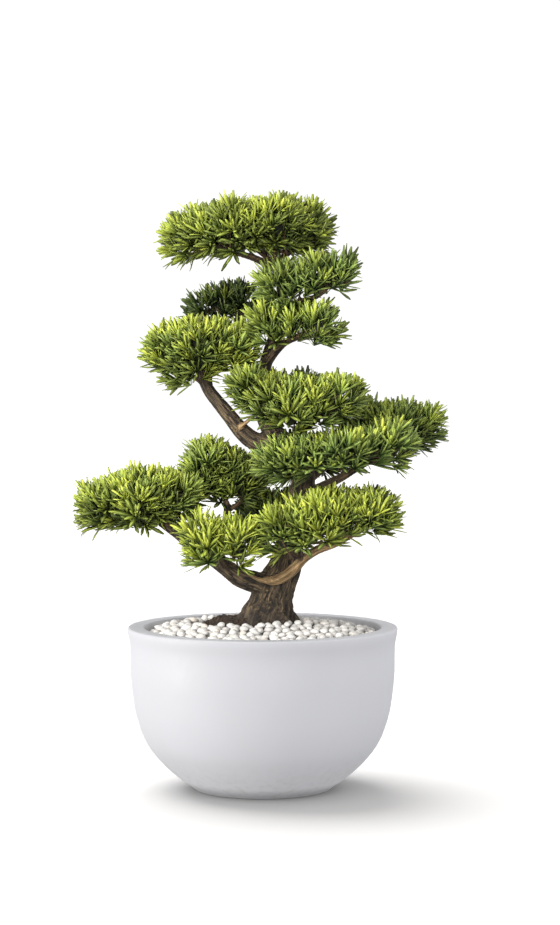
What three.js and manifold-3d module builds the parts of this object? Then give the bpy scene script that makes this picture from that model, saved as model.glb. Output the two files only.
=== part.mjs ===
// A podocarpus bonsai in a white bowl planter, at its real size in millimetres, +Z up.
// The origin is the centre of the pot's flat base. +X is the viewer's right and +Y goes away from the viewer.
import * as THREE from "three";
import { mergeVertices } from "three/addons/utils/BufferGeometryUtils.js";
import { ConvexHull } from "three/addons/math/ConvexHull.js";
import Module from "manifold-3d";

const wasm = await Module();
wasm.setup();

// Driving dimensions of the pot
const POT_RADIUS = 250;
const POT_HEIGHT = 300;
const FOOT_RADIUS = 128;
const LIP_WIDTH = 31;
const FLOOR_HEIGHT = 24;
const ROUND_SIDES = 36;

// Driving dimensions of the filling
const GAP = 0.4;
const MOUND_TOP = 317;
const SOIL_AT_WALL = 272;
const PEBBLE_SPACING = 46;
const PEBBLE_RISE = 16;
const GROOVE_RISE = 6;
const SOIL_PATCH = { x: -12, y: 2, radiusX: 84, radiusY: 62 };

// Driving dimensions of the leaves
const LEAF_LENGTH = 46;
const LEAF_REACH = 38;
const LEAF_ROOM = 0.5;
const TUFT_SPACING = 44;
const TUFT_HUB = 8;
const LOWEST_TUFT = -0.7;
const TUFT_LIFT = 0.35;
const LEAF_TRIES = 12;
const FULL_LENGTH_TRIES = 9;
const WOOD_ROOM = 1;
const GOLDEN_ANGLE = Math.PI * (3 - Math.sqrt(5));

// A small seeded random source, so that every build draws the same leaves and stones
function randomSource(seed) {
  let state = seed;
  return () => {
    state = (state * 1664525 + 1013904223) % 4294967296;
    return state / 4294967296;
  };
}

function between(random, low, high) {
  return low + (high - low) * random();
}

function smoothstep(value, low, high) {
  const t = Math.min(1, Math.max(0, (value - low) / (high - low)));
  return t * t * (3 - 2 * t);
}

// Turns a closed geometry into a solid, with its faces turned outwards
function solid(geometry) {
  const bare = new THREE.BufferGeometry();
  bare.setAttribute("position", geometry.attributes.position);
  bare.setIndex(geometry.index);
  const merged = mergeVertices(bare, 1e-4);
  const positions = new Float32Array(merged.attributes.position.array);
  const kept = [];
  let volume = 0;
  const [a, b, c] = [new THREE.Vector3(), new THREE.Vector3(), new THREE.Vector3()];
  for (let i = 0; i < merged.index.count; i += 3) {
    const corners = [merged.index.getX(i), merged.index.getX(i + 1), merged.index.getX(i + 2)];
    if (new Set(corners).size < 3) continue;
    kept.push(corners);
    a.fromArray(positions, corners[0] * 3);
    b.fromArray(positions, corners[1] * 3);
    c.fromArray(positions, corners[2] * 3);
    volume += a.dot(b.cross(c));
  }
  if (volume < 0) kept.forEach((corners) => corners.reverse());
  const mesh = new wasm.Mesh({
    numProp: 3,
    vertProperties: positions,
    triVerts: new Uint32Array(kept.flat()),
  });
  return new wasm.Manifold(mesh);
}

// A closed geometry from lists of points and triangles
function closedGeometry(points, triangles) {
  const geometry = new THREE.BufferGeometry();
  const flat = points.flatMap((point) => [point.x, point.y, point.z]);
  geometry.setAttribute("position", new THREE.Float32BufferAttribute(flat, 3));
  geometry.setIndex(triangles.flat());
  return geometry;
}

function largestBody(shape) {
  const bodies = shape.decompose();
  bodies.sort((one, other) => other.volume() - one.volume());
  return bodies[0];
}

const bonsai = new THREE.Group();
bonsai.name = "podocarpus_bonsai";

function addNode(name, shape, color, roughness) {
  const result = shape.getMesh();
  const geometry = new THREE.BufferGeometry();
  geometry.setAttribute("position", new THREE.BufferAttribute(result.vertProperties, 3));
  geometry.setIndex(new THREE.BufferAttribute(result.triVerts, 1));
  geometry.computeVertexNormals();
  const material = new THREE.MeshStandardMaterial({ color, roughness, metalness: 0 });
  const mesh = new THREE.Mesh(geometry, material);
  mesh.name = name;
  bonsai.add(mesh);
}

// A turned form from [radius, height] pairs, with the same flats on every round piece
function turned(profile) {
  const points = profile.map(([radius, height]) => new THREE.Vector2(radius, height));
  return solid(new THREE.LatheGeometry(points, ROUND_SIDES).rotateX(Math.PI / 2));
}

// The pot: a bowl on a small foot, almost upright above, flared into a flat thick lip
const INNER_RADIUS = POT_RADIUS - LIP_WIDTH;
const pot = turned([
  [0, 0],
  [FOOT_RADIUS, 0],
  [FOOT_RADIUS + 8, 8],
  [FOOT_RADIUS + 31, 24],
  [191, 54],
  [217, 90],
  [234.5, 140],
  [243.5, 205],
  [244.5, 262],
  [POT_RADIUS, POT_HEIGHT - 9],
  [POT_RADIUS - 3, POT_HEIGHT],
  [INNER_RADIUS, POT_HEIGHT],
  [INNER_RADIUS, POT_HEIGHT - 40],
  [212, 130],
  [150, FLOOR_HEIGHT],
  [0, FLOOR_HEIGHT],
]);

// The height of the soil's mounded top at a distance from the pot's axis
const MOUND_PROFILE = [
  [0, MOUND_TOP],
  [72, MOUND_TOP - 9],
  [INNER_RADIUS - GAP, SOIL_AT_WALL],
];

function soilHeight(radius) {
  for (let i = 1; i < MOUND_PROFILE.length; i += 1) {
    const [r0, z0] = MOUND_PROFILE[i - 1];
    const [r1, z1] = MOUND_PROFILE[i];
    if (radius <= r1) return z0 + ((z1 - z0) * (radius - r0)) / (r1 - r0);
  }
  return SOIL_AT_WALL;
}

// A limb of the tree: a tapered tube through [x, y, z, radius] points, with a fluted section
function limb({ path, sides, step, flute = 0.05 }, grow) {
  const curve = new THREE.CatmullRomCurve3(path.map(([x, y, z]) => new THREE.Vector3(x, y, z)));
  const stations = Math.max(3, Math.round(curve.getLength() / step));
  const frames = curve.computeFrenetFrames(stations, false);
  const points = [];
  const triangles = [];
  for (let i = 0; i <= stations; i += 1) {
    const along = i / stations;
    const t = curve.getUtoTmapping(along);
    const place = t * (path.length - 1);
    const k = Math.min(path.length - 2, Math.floor(place));
    const radius = THREE.MathUtils.lerp(path[k][3], path[k + 1][3], place - k);
    const centre = curve.getPoint(t);
    for (let j = 0; j < sides; j += 1) {
      const angle = (j / sides) * 2 * Math.PI;
      const wave = Math.sin(3 * angle + along * 5) + 0.7 * Math.sin(2 * angle - along * 7 + 1);
      const distance = radius * (1 + flute * wave) + grow;
      const point = centre.clone();
      point.addScaledVector(frames.normals[i], distance * Math.cos(angle));
      point.addScaledVector(frames.binormals[i], distance * Math.sin(angle));
      points.push(point);
    }
  }
  for (let i = 0; i < stations; i += 1) {
    for (let j = 0; j < sides; j += 1) {
      const a = i * sides + j;
      const b = i * sides + ((j + 1) % sides);
      triangles.push([a, b, b + sides], [a, b + sides, a + sides]);
    }
  }
  const ends = [0, stations].map((i) => {
    const outward = frames.tangents[i].clone().multiplyScalar(i === 0 ? -1 : 1);
    const bulge = path[i === 0 ? 0 : path.length - 1][3] * 0.5 + grow;
    points.push(curve.getPointAt(i / stations).addScaledVector(outward, bulge));
    return points.length - 1;
  });
  for (let j = 0; j < sides; j += 1) {
    const next = (j + 1) % sides;
    const last = stations * sides;
    triangles.push([ends[0], next, j], [ends[1], last + j, last + next]);
  }
  return solid(closedGeometry(points, triangles));
}

// The trunk leans right, swings back left at mid height and rises to the crown
const TRUNK = {
  sides: 8,
  step: 40,
  flute: 0.06,
  path: [
    [6, 0, 246, 50],
    [8, 0, 290, 52],
    [11, 0, 317, 48],
    [17, 0, 336, 42],
    [20, 0, 354, 38],
    [30, 0, 381, 35],
    [43, 0, 413, 30],
    [56, 2, 470, 26],
    [67, 4, 530, 24],
    [75, 6, 572, 23],
    [66, 8, 606, 22],
    [42, 8, 636, 20],
    [16, 8, 664, 19],
    [0, 10, 702, 15.5],
    [-3, 12, 745, 13.5],
    [9, 11, 800, 12],
    [27, 10, 850, 11.5],
    [37, 8, 900, 10.5],
    [31, 4, 950, 10],
    [22, 0, 985, 8.5],
    [21, 0, 1012, 5.5],
  ],
};

// The surface roots run out from the trunk's foot and dive into the soil
const ROOTS = [
  [[-8, -4, 330, 24], [-34, -8, 318, 19], [-62, -10, 302, 12], [-84, -14, 284, 6]],
  [[-2, 10, 328, 22], [-26, 30, 312, 16], [-48, 48, 292, 9]],
  [[2, -16, 326, 22], [-14, -36, 312, 15], [-24, -54, 292, 8]],
  [[22, -14, 326, 20], [36, -34, 310, 14], [46, -50, 290, 7]],
  [[28, 4, 326, 22], [50, 2, 313, 16], [72, 0, 290, 8]],
  [[16, 16, 326, 20], [30, 36, 310, 14], [38, 56, 288, 7]],
];

// The branches, each a list of [x, y, z, radius], named after the leaf pad that each one carries
const BRANCHES = [
  // The long left limb leaves the trunk low and runs out to the widest pad
  { sides: 7, step: 36, path: [[22, -4, 368, 26], [-8, -12, 382, 21], [-42, -18, 393, 17.5],
    [-66, -20, 410, 16], [-106, -20, 438, 13.5], [-150, -18, 469, 11.5], [-178, -16, 489, 10],
    [-206, -12, 507, 8.5], [-242, -12, 524, 6], [-282, -14, 532, 3.5]] },
  { sides: 4, step: 42, path: [[-188, -14, 494, 6], [-212, 22, 508, 5], [-240, 52, 524, 3]] },
  // Its side branches to the low front pad and to the inner left pad
  { sides: 5, step: 40, path: [[-68, -20, 412, 10], [-76, -58, 432, 8], [-84, -98, 452, 5]] },
  { sides: 5, step: 40, path: [[-92, -20, 428, 8.5], [-76, 0, 472, 7.5], [-66, 22, 515, 7],
    [-76, 34, 548, 5], [-86, 38, 574, 3.5]] },
  { sides: 4, step: 42, path: [[-67, 20, 512, 5.5], [-45, 38, 526, 4.5], [-30, 52, 548, 3.2]] },
  // The pale fork in front of the trunk: a thin left arm and the limb of the low right pad
  { sides: 6, step: 30, path: [[18, -24, 372, 9], [36, -38, 382, 9], [54, -43, 394, 9],
    [69, -49, 410, 9], [81, -56, 430, 9], [97, -64, 446, 8.5], [124, -74, 461, 7.5],
    [162, -84, 482, 5.5], [196, -88, 496, 3.5]] },
  { sides: 5, step: 26, path: [[20, -34, 376, 6.5], [-9, -44, 387, 5.6], [-25, -50, 399, 4.8],
    [-37, -62, 414, 4.2], [-46, -84, 438, 3.2]] },
  // Low rear pad
  { sides: 5, step: 40, path: [[46, 14, 424, 10], [40, 56, 458, 8], [34, 94, 490, 5]] },
  // Right pad, front left part and long right part, with the rear right pads
  { sides: 5, step: 40, path: [[72, -4, 566, 10], [64, -44, 592, 8], [58, -78, 610, 5]] },
  { sides: 5, step: 36, path: [[68, 0, 538, 11], [104, -22, 557, 9.5], [139, -42, 575, 8.5],
    [166, -54, 592, 7.5], [196, -62, 610, 6], [232, -64, 628, 4]] },
  { sides: 5, step: 45, path: [[72, 10, 562, 10], [114, 44, 592, 8.5], [162, 74, 630, 7.5],
    [212, 90, 660, 6], [258, 88, 668, 4]] },
  { sides: 4, step: 42, path: [[72, 14, 580, 8], [76, 66, 594, 6.5], [82, 108, 604, 4]] },
  // Left limb of the upper pads, its forks and the pale stub
  { sides: 7, step: 34, path: [[26, 4, 634, 20], [-12, -2, 642, 18], [-38, -6, 662, 16],
    [-62, -10, 691, 14], [-85, -12, 719, 12.5], [-99, -12, 737, 11], [-109, -16, 755, 9],
    [-114, -24, 782, 6.5], [-112, -32, 804, 4]] },
  { sides: 4, step: 42, path: [[-106, -14, 750, 6], [-130, -8, 763, 5], [-160, -8, 782, 3.5]] },
  { sides: 4, step: 42, path: [[-104, -14, 748, 6], [-88, -22, 776, 5], [-62, -30, 802, 3.5]] },
  { sides: 5, step: 40, path: [[-98, -8, 738, 7.5], [-100, 36, 766, 6], [-104, 78, 798, 4]] },
  { sides: 5, step: 40, path: [[-44, -10, 668, 7], [-24, -26, 684, 6], [-4, -48, 700, 5],
    [14, -74, 706, 3.5]] },
  // Middle pads, front and rear
  { sides: 5, step: 40, path: [[24, 0, 652, 9], [56, -28, 655, 7.5], [88, -58, 676, 6.5],
    [118, -74, 704, 4]] },
  { sides: 4, step: 42, path: [[0, 4, 692, 8], [-12, -36, 712, 6.5], [-22, -74, 728, 4]] },
  { sides: 5, step: 40, path: [[0, 14, 704, 8], [18, 56, 716, 6.5], [40, 98, 728, 4]] },
  // Upper pads
  { sides: 5, step: 40, path: [[8, 8, 788, 10], [24, -10, 808, 8.5], [44, -32, 826, 7],
    [74, -54, 838, 5.5], [100, -62, 848, 3.5]] },
  { sides: 4, step: 42, path: [[24, 12, 838, 7.5], [-8, 46, 862, 6], [-52, 84, 886, 4.5],
    [-88, 96, 890, 3]] },
  { sides: 5, step: 40, path: [[36, 4, 882, 7.5], [62, -26, 896, 6.5], [97, -50, 908, 5.5],
    [119, -60, 926, 4.5], [124, -62, 944, 3.2]] },
  // Crown
  { sides: 5, step: 40, path: [[26, 0, 960, 8.5], [-14, -14, 979, 7], [-52, -26, 990, 5.8],
    [-92, -28, 1006, 4.5], [-122, -18, 1020, 3]] },
  { sides: 4, step: 42, path: [[23, 0, 974, 6.5], [52, -16, 990, 5], [84, -8, 1014, 3.2]] },
  { sides: 4, step: 42, path: [[24, 2, 970, 6.5], [-8, 38, 994, 5], [-44, 58, 1018, 3.2]] },
];

const LIMBS = [
  TRUNK,
  ...ROOTS.map((path) => ({ path, sides: 4, step: 28 })),
  ...BRANCHES,
];

function wholeTree(grow) {
  let tree = limb(LIMBS[0], grow);
  for (const part of LIMBS.slice(1)) tree = tree.add(limb(part, grow));
  return tree;
}

const tree = largestBody(wholeTree(0));
const treeClearance = wholeTree(GAP);

// The soil fills the pot up to its mound, with a plain hole for the foot of the tree
const soilBody = turned([
  [0, FLOOR_HEIGHT + GAP],
  [150 - GAP, FLOOR_HEIGHT + GAP],
  [212 - GAP, 130],
  [INNER_RADIUS - GAP, POT_HEIGHT - 40],
  ...[...MOUND_PROFILE].reverse(),
]);
const soil = largestBody(soilBody.subtract(treeClearance));

// The pebbles: one stone on each cell of a honeycomb, raised over the soil and cut to the pot's round
function pebbleSheet() {
  const random = randomSource(7);
  const points = [];
  const triangles = [];
  const corners = new Map();
  const rowStep = PEBBLE_SPACING * 0.866;
  const reach = Math.ceil(INNER_RADIUS / rowStep) + 1;
  const cornerRadius = PEBBLE_SPACING / Math.sqrt(3);
  const top = (x, y, rise) => soilHeight(Math.hypot(x, y)) + rise;
  const cornerAt = (x, y) => {
    const key = `${Math.round(x)},${Math.round(y)}`;
    if (!corners.has(key)) {
      const shiftX = between(random, -4, 4);
      const shiftY = between(random, -4, 4);
      points.push(new THREE.Vector3(x + shiftX, y + shiftY, top(x, y, GROOVE_RISE)));
      corners.set(key, points.length - 1);
    }
    return corners.get(key);
  };
  const edges = new Map();
  for (let row = -reach; row <= reach; row += 1) {
    for (let column = -reach; column <= reach; column += 1) {
      const x = (column + (row & 1) / 2) * PEBBLE_SPACING;
      const y = row * rowStep;
      const ring = [];
      for (let i = 0; i < 6; i += 1) {
        const angle = ((i + 0.5) / 6) * 2 * Math.PI;
        ring.push(cornerAt(x + cornerRadius * Math.cos(angle), y + cornerRadius * Math.sin(angle)));
      }
      const stone = between(random, 0.5, 0.66);
      const turn = Math.PI / 6 + between(random, 0.3, 1.3);
      const rise = PEBBLE_RISE + between(random, -3, 3);
      const crown = [];
      for (let i = 0; i < 4; i += 1) {
        const angle = turn + (i / 4) * 2 * Math.PI;
        const px = x + cornerRadius * stone * Math.cos(angle);
        const py = y + cornerRadius * stone * Math.sin(angle);
        points.push(new THREE.Vector3(px, py, top(px, py, rise + between(random, -1.5, 1.5))));
        crown.push({ index: points.length - 1, angle });
      }
      triangles.push([crown[0].index, crown[1].index, crown[2].index]);
      triangles.push([crown[0].index, crown[2].index, crown[3].index]);
      const angleOf = (index) => Math.atan2(points[index].y - y, points[index].x - x);
      const outer = ring.map((index) => ({ index, angle: angleOf(index) }));
      triangles.push(...joinRings(outer, crown));
      for (let i = 0; i < 6; i += 1) {
        const [from, to] = [ring[i], ring[(i + 1) % 6]];
        if (edges.has(`${to},${from}`)) edges.delete(`${to},${from}`);
        else edges.set(`${from},${to}`, [from, to]);
      }
    }
  }
  closeBelow(points, triangles, [...edges.values()], SOIL_AT_WALL - 30);
  return solid(closedGeometry(points, triangles));
}

// Joins an outer ring of points to an inner one by walking round both at once. Each ring lists
// its points in turning order, from the same start.
function joinRings(outer, inner) {
  const full = 2 * Math.PI;
  const start = outer[0].angle;
  const step = (angle) => ((angle % full) + full + Math.PI) % full - Math.PI;
  const unwind = (ring) => {
    let turn = 0;
    let last = start;
    return ring.map(({ angle }) => {
      turn += step(angle - last);
      last = angle;
      return turn;
    });
  };
  const [wideTurns, narrowTurns] = [unwind(outer), unwind(inner)];
  const turnAt = (turns, k) => turns[k % turns.length] + full * Math.floor(k / turns.length);
  const result = [];
  let [i, j] = [0, 0];
  while (i < outer.length || j < inner.length) {
    const wideFirst = turnAt(wideTurns, i + 1) <= turnAt(narrowTurns, j + 1);
    const wide = outer[i % outer.length].index;
    const narrow = inner[j % inner.length].index;
    if (j >= inner.length || (i < outer.length && wideFirst)) {
      result.push([wide, outer[(i + 1) % outer.length].index, narrow]);
      i += 1;
    } else {
      result.push([wide, inner[(j + 1) % inner.length].index, narrow]);
      j += 1;
    }
  }
  return result;
}

// Closes a sheet with an upright skirt and a flat floor
function closeBelow(points, triangles, border, floor) {
  const below = new Map();
  const dropped = (index) => {
    if (!below.has(index)) {
      points.push(new THREE.Vector3(points[index].x, points[index].y, floor));
      below.set(index, points.length - 1);
    }
    return below.get(index);
  };
  points.push(new THREE.Vector3(0, 0, floor));
  const middle = points.length - 1;
  for (const [from, to] of border) {
    triangles.push([to, from, dropped(from)], [to, dropped(from), dropped(to)]);
    triangles.push([dropped(to), dropped(from), middle]);
  }
}

const bedSpace = turned([
  ...MOUND_PROFILE.map(([radius, height]) => [radius, height + GAP]),
  [INNER_RADIUS - GAP, POT_HEIGHT + 60],
  [0, POT_HEIGHT + 60],
]);
const patchHole = solid(
  new THREE.CylinderGeometry(1, 1, 200, 18)
    .rotateX(Math.PI / 2)
    .scale(SOIL_PATCH.radiusX, SOIL_PATCH.radiusY, 1)
    .translate(SOIL_PATCH.x, SOIL_PATCH.y, POT_HEIGHT),
);
const pebbles = largestBody(
  pebbleSheet().intersect(bedSpace).subtract(patchHole).subtract(treeClearance),
);

addNode("pot", pot, 0xe2e3e9, 0.55);
addNode("soil", soil, 0x35291f, 0.95);
addNode("white_pebbles", pebbles, 0xe9e6df, 0.6);
addNode("trunk_and_branches", tree, 0x77634e, 0.9);

// The leaf pads. Each lobe is [x, y, z, half width, half depth, half height], out to the leaf tips.
const PADS = [
  { name: "pad_crown", color: 0x9aa838, lobes: [[-126, -10, 1026, 60, 85, 50], [-52, -45, 1038, 66, 80, 52],
    [28, -40, 1040, 66, 85, 56], [82, 0, 1040, 56, 80, 54], [-57, 60, 1038, 72, 72, 50],
    [42, 60, 1042, 72, 72, 52]] },
  { name: "pad_upper_right", color: 0x6f8b3a, lobes: [[144, -60, 949, 40, 55, 40],
    [97, -68, 948, 49, 58, 42], [38, -58, 935, 56, 56, 45]] },
  { name: "pad_upper_middle", color: 0x7b9140, lobes: [[14, -58, 858, 52, 58, 49],
    [100, -65, 855, 52, 62, 48]] },
  { name: "pad_upper_left_rear", color: 0x4f7030, lobes: [[-103, 95, 888, 48, 60, 36],
    [-40, 100, 900, 57, 62, 44]] },
  { name: "pad_left_middle", color: 0x86a03c, lobes: [[-176, -10, 812, 53, 75, 48],
    [-114, -45, 820, 60, 80, 57], [-51, -30, 818, 48, 72, 52], [-138, 0, 778, 55, 70, 37]] },
  { name: "pad_left_middle_rear", color: 0x4f7030, lobes: [[-134, 92, 804, 54, 60, 38],
    [-76, 98, 807, 53, 60, 38]] },
  { name: "pad_middle", color: 0x7f9a3a, lobes: [[-28, -84, 733, 52, 68, 52],
    [50, -86, 716, 64, 76, 63], [138, -75, 731, 58, 70, 46]] },
  { name: "pad_middle_rear", color: 0x55752f, lobes: [[0, 105, 732, 56, 65, 40],
    [80, 110, 728, 56, 65, 40]] },
  { name: "pad_right_rear", color: 0x66843a, lobes: [[206, 92, 681, 62, 63, 42],
    [274, 84, 672, 72, 74, 52]] },
  { name: "pad_right", color: 0x80993e, lobes: [[50, -80, 612, 70, 68, 47],
    [149, -84, 624, 62, 73, 52], [236, -60, 639, 57, 70, 53]] },
  { name: "pad_right_low_rear", color: 0x55752f, lobes: [[42, 120, 605, 60, 64, 37],
    [118, 120, 609, 60, 64, 38]] },
  { name: "pad_lower_left", color: 0x8aa33b, lobes: [[-292, -15, 532, 59, 78, 55],
    [-224, -40, 539, 66, 86, 60], [-155, -20, 546, 54, 78, 55], [-238, 46, 532, 73, 73, 52]] },
  { name: "pad_lower_left_rear", color: 0x5f7f35, lobes: [[-98, 42, 600, 61, 73, 52],
    [-46, 62, 573, 66, 76, 52]] },
  { name: "pad_lower_front", color: 0x84a03c, lobes: [[-100, -108, 466, 56, 68, 54],
    [-42, -112, 464, 50, 66, 55]] },
  { name: "pad_lower_right", color: 0x93ab3d, lobes: [[38, -102, 496, 54, 68, 63],
    [113, -93, 513, 60, 76, 55], [190, -85, 511, 68, 76, 54]] },
  { name: "pad_lower_rear", color: 0x4f7030, lobes: [[-1, 100, 502, 60, 64, 38],
    [71, 110, 508, 60, 64, 38]] },
];

// Works out a pad's middle, its half sizes and how far its smaller core stands in from the leaf tips
function surveyPad(pad) {
  const low = new THREE.Vector3(Infinity, Infinity, Infinity);
  const high = new THREE.Vector3(-Infinity, -Infinity, -Infinity);
  for (const [x, y, z, a, b, c] of pad.lobes) {
    low.min(new THREE.Vector3(x - a, y - b, z - c));
    high.max(new THREE.Vector3(x + a, y + b, z + c));
  }
  const centre = low.clone().add(high).multiplyScalar(0.5);
  const half = high.clone().sub(low).multiplyScalar(0.5);
  const inset = (size, reach) => Math.max(0.34, (size - reach) / size);
  const heart = half.clone().multiplyScalar(0.6);
  const shrink = {
    x: inset(half.x, LEAF_REACH),
    y: inset(half.y, LEAF_REACH),
    up: inset(half.z, LEAF_REACH - 6),
    down: inset(half.z, LEAF_REACH - 16),
  };
  return {
    ...pad,
    centre,
    half,
    shrink,
    lobes: [...pad.lobes, [centre.x, centre.y, centre.z, heart.x, heart.y, heart.z]],
  };
}

// How far the pad's outline lies from its middle in one direction: the far side of its lobes
function outlineDistance(pad, direction) {
  let farthest = 0;
  for (const [x, y, z, a, b, c] of pad.lobes) {
    const from = new THREE.Vector3(pad.centre.x - x, pad.centre.y - y, pad.centre.z - z);
    const p = new THREE.Vector3(from.x / a, from.y / b, from.z / c);
    const d = new THREE.Vector3(direction.x / a, direction.y / b, direction.z / c);
    const [qa, qb, qc] = [d.dot(d), p.dot(d), p.dot(p) - 1];
    const root = qb * qb - qa * qc;
    if (root > 0) farthest = Math.max(farthest, (-qb + Math.sqrt(root)) / qa);
  }
  return farthest;
}

function shrinkOffset(pad, offset, inverse = false) {
  const up = offset.z > 0 ? pad.shrink.up : pad.shrink.down;
  const scale = new THREE.Vector3(pad.shrink.x, pad.shrink.y, up);
  return inverse ? offset.clone().divide(scale) : offset.clone().multiply(scale);
}

// Whether a point lies in a pad's core, or nearer to it than the margin
function insideCore(pad, point, margin) {
  const offset = point.clone().sub(pad.centre);
  const distance = offset.length();
  if (distance > pad.half.length()) return false;
  offset.multiplyScalar(Math.max(0.01, distance - margin) / distance);
  const outward = shrinkOffset(pad, offset, true);
  return outward.length() < outlineDistance(pad, outward.clone().normalize());
}

// A direction on the pad, from a point of the unit ball stretched to the pad's proportions
function padDirection(pad, point) {
  return point.clone().multiply(pad.half).normalize();
}

// The pad's core: points spread over a ball by the golden angle, joined into triangles there and
// then moved out to the pad's own shape
function coreMesh(pad, count) {
  const onBall = [];
  for (let i = 0; i < count; i += 1) {
    const height = 1 - (2 * i + 1) / count;
    const flat = Math.sqrt(1 - height * height);
    const around = i * GOLDEN_ANGLE;
    onBall.push(new THREE.Vector3(flat * Math.cos(around), flat * Math.sin(around), height));
  }
  const hull = new ConvexHull().setFromPoints(onBall);
  const faces = hull.faces.map(({ edge }) => [edge, edge.next, edge.prev]
    .map(({ vertex }) => onBall.indexOf(vertex.point)));
  const corners = onBall.map((point) => {
    const direction = padDirection(pad, point);
    const offset = shrinkOffset(pad, direction.multiplyScalar(outlineDistance(pad, direction)));
    return offset.add(pad.centre);
  });
  return { onBall, faces, corners };
}

// How much room is left between two leaves, each a spike from a wide root to a fine tip
function leafRoom(one, other) {
  const u = one.tip.clone().sub(one.root);
  const v = other.tip.clone().sub(other.root);
  const w = one.root.clone().sub(other.root);
  const [a, b, c, d, e] = [u.dot(u), u.dot(v), v.dot(v), u.dot(w), v.dot(w)];
  const spread = a * c - b * b;
  let s = THREE.MathUtils.clamp(spread > 1e-6 ? (b * e - c * d) / spread : 0, 0, 1);
  const t = THREE.MathUtils.clamp((b * s + e) / c, 0, 1);
  s = THREE.MathUtils.clamp((b * t - d) / a, 0, 1);
  const near = one.root.clone().addScaledVector(u, s);
  const far = other.root.clone().addScaledVector(v, t);
  return near.distanceTo(far) - one.width * (1 - s) - other.width * (1 - t);
}

// Straight pieces along every limb, for keeping the leaves clear of the wood
const WOOD = LIMBS.flatMap(({ path }) => {
  const curve = new THREE.CatmullRomCurve3(path.map(([x, y, z]) => new THREE.Vector3(x, y, z)));
  const pieces = (path.length - 1) * 3;
  return Array.from({ length: pieces }, (_, i) => ({
    root: curve.getPoint(i / pieces),
    tip: curve.getPoint((i + 1) / pieces),
    radius: path[Math.min(path.length - 1, Math.floor(i / 3))][3] * 1.1,
    width: 0,
  }));
});

const leavesSoFar = [];

function leafIsClear(leaf) {
  const { root, tip, pad, tuft } = leaf;
  for (const piece of WOOD) {
    const near = piece.root.distanceTo(root) < 3 * LEAF_LENGTH;
    if (near && leafRoom(leaf, piece) < piece.radius + WOOD_ROOM) return false;
  }
  for (const other of surveyed) {
    if (other.centre.distanceTo(root) > other.half.length() + LEAF_LENGTH) continue;
    const margin = other === pad ? 0.5 : 2;
    for (const t of other === pad ? [0.45, 0.7, 1] : [0.25, 0.5, 0.75, 1]) {
      if (insideCore(other, root.clone().lerp(tip, t), margin)) return false;
    }
  }
  for (const other of leavesSoFar) {
    if (other.tuft === tuft || other.root.distanceTo(root) > 2.4 * LEAF_LENGTH) continue;
    if (leafRoom(leaf, other) < LEAF_ROOM) return false;
  }
  return true;
}

// A face of a pad with the box round it, for finding faces that would cut each other
function boxedFace(points, indexes) {
  return { indexes, box: new THREE.Box3().setFromPoints(indexes.map((index) => points[index])) };
}

// Whether an edge of one face passes through another face, which it doesn't meet at a corner
function edgePierces(points, one, other) {
  const [a, b, c] = other.indexes.map((index) => points[index]);
  return one.indexes.some((from, k) => {
    const to = one.indexes[(k + 1) % 3];
    if (other.indexes.includes(from) || other.indexes.includes(to)) return false;
    const direction = points[to].clone().sub(points[from]);
    const length = direction.length();
    const ray = new THREE.Ray(points[from], direction.normalize());
    const hit = ray.intersectTriangle(a, b, c, false, new THREE.Vector3());
    return hit !== null && hit.distanceTo(points[from]) <= length;
  });
}

function facesCross(points, one, other) {
  if (!one.box.intersectsBox(other.box)) return false;
  return edgePierces(points, one, other) || edgePierces(points, other, one);
}

// Grows the leafy pad: each corner of the core is cut to a small ring, and a tuft of leaves stands
// on the ring. The leaves are spikes raised from the faces of the tuft's hub.
function growPad(pad, index) {
  const random = randomSource(101 + index * 17);
  const area = Math.PI * pad.half.x * pad.half.y;
  const count = Math.round(area / (TUFT_SPACING * TUFT_SPACING)) + 7;
  const { onBall, faces, corners } = coreMesh(pad, count);
  const points = [];
  const skin = [];
  const ringPoints = new Map();
  const ringPoint = (from, to) => {
    const key = `${from}>${to}`;
    if (!ringPoints.has(key)) {
      const length = corners[from].distanceTo(corners[to]);
      points.push(corners[from].clone().lerp(corners[to], Math.min(0.4, TUFT_HUB / length)));
      ringPoints.set(key, points.length - 1);
    }
    return ringPoints.get(key);
  };
  const fan = (ring) => {
    for (let i = 1; i < ring.length - 1; i += 1) skin.push([ring[0], ring[i], ring[i + 1]]);
  };
  for (const [a, b, c] of faces) {
    fan([[a, b], [b, a], [b, c], [c, b], [c, a], [a, c]].map(([from, to]) => ringPoint(from, to)));
  }
  const buds = [];
  for (let corner = 0; corner < count; corner += 1) {
    const next = new Map();
    for (const face of faces) {
      const k = face.indexOf(corner);
      if (k >= 0) next.set(face[(k + 1) % 3], face[(k + 2) % 3]);
    }
    const around = [next.keys().next().value];
    while (around.length < next.size) around.push(next.get(around[around.length - 1]));
    const ring = around.map((other) => ringPoint(corner, other));
    if (onBall[corner].z < LOWEST_TUFT) {
      fan(ring);
      continue;
    }
    const axis = onBall[corner].clone().divide(pad.half).normalize();
    axis.z += TUFT_LIFT * smoothstep(onBall[corner].z, -0.4, 0.3);
    buds.push(...tuftBuds(`${index}.${corner}`, corners[corner], axis.normalize(), ring, points));
  }
  const placed = [...skin, ...buds.map(({ face }) => face)].map((face) => boxedFace(points, face));
  const triangles = [...skin];
  for (const bud of buds) {
    const leafFaces = growLeaf(pad, bud, points, placed, random);
    placed.push(...leafFaces);
    triangles.push(...(leafFaces.length > 0 ? leafFaces.map(({ indexes }) => indexes) : [bud.face]));
  }
  return largestBody(solid(closedGeometry(points, triangles)).subtract(treeClearance));
}

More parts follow.
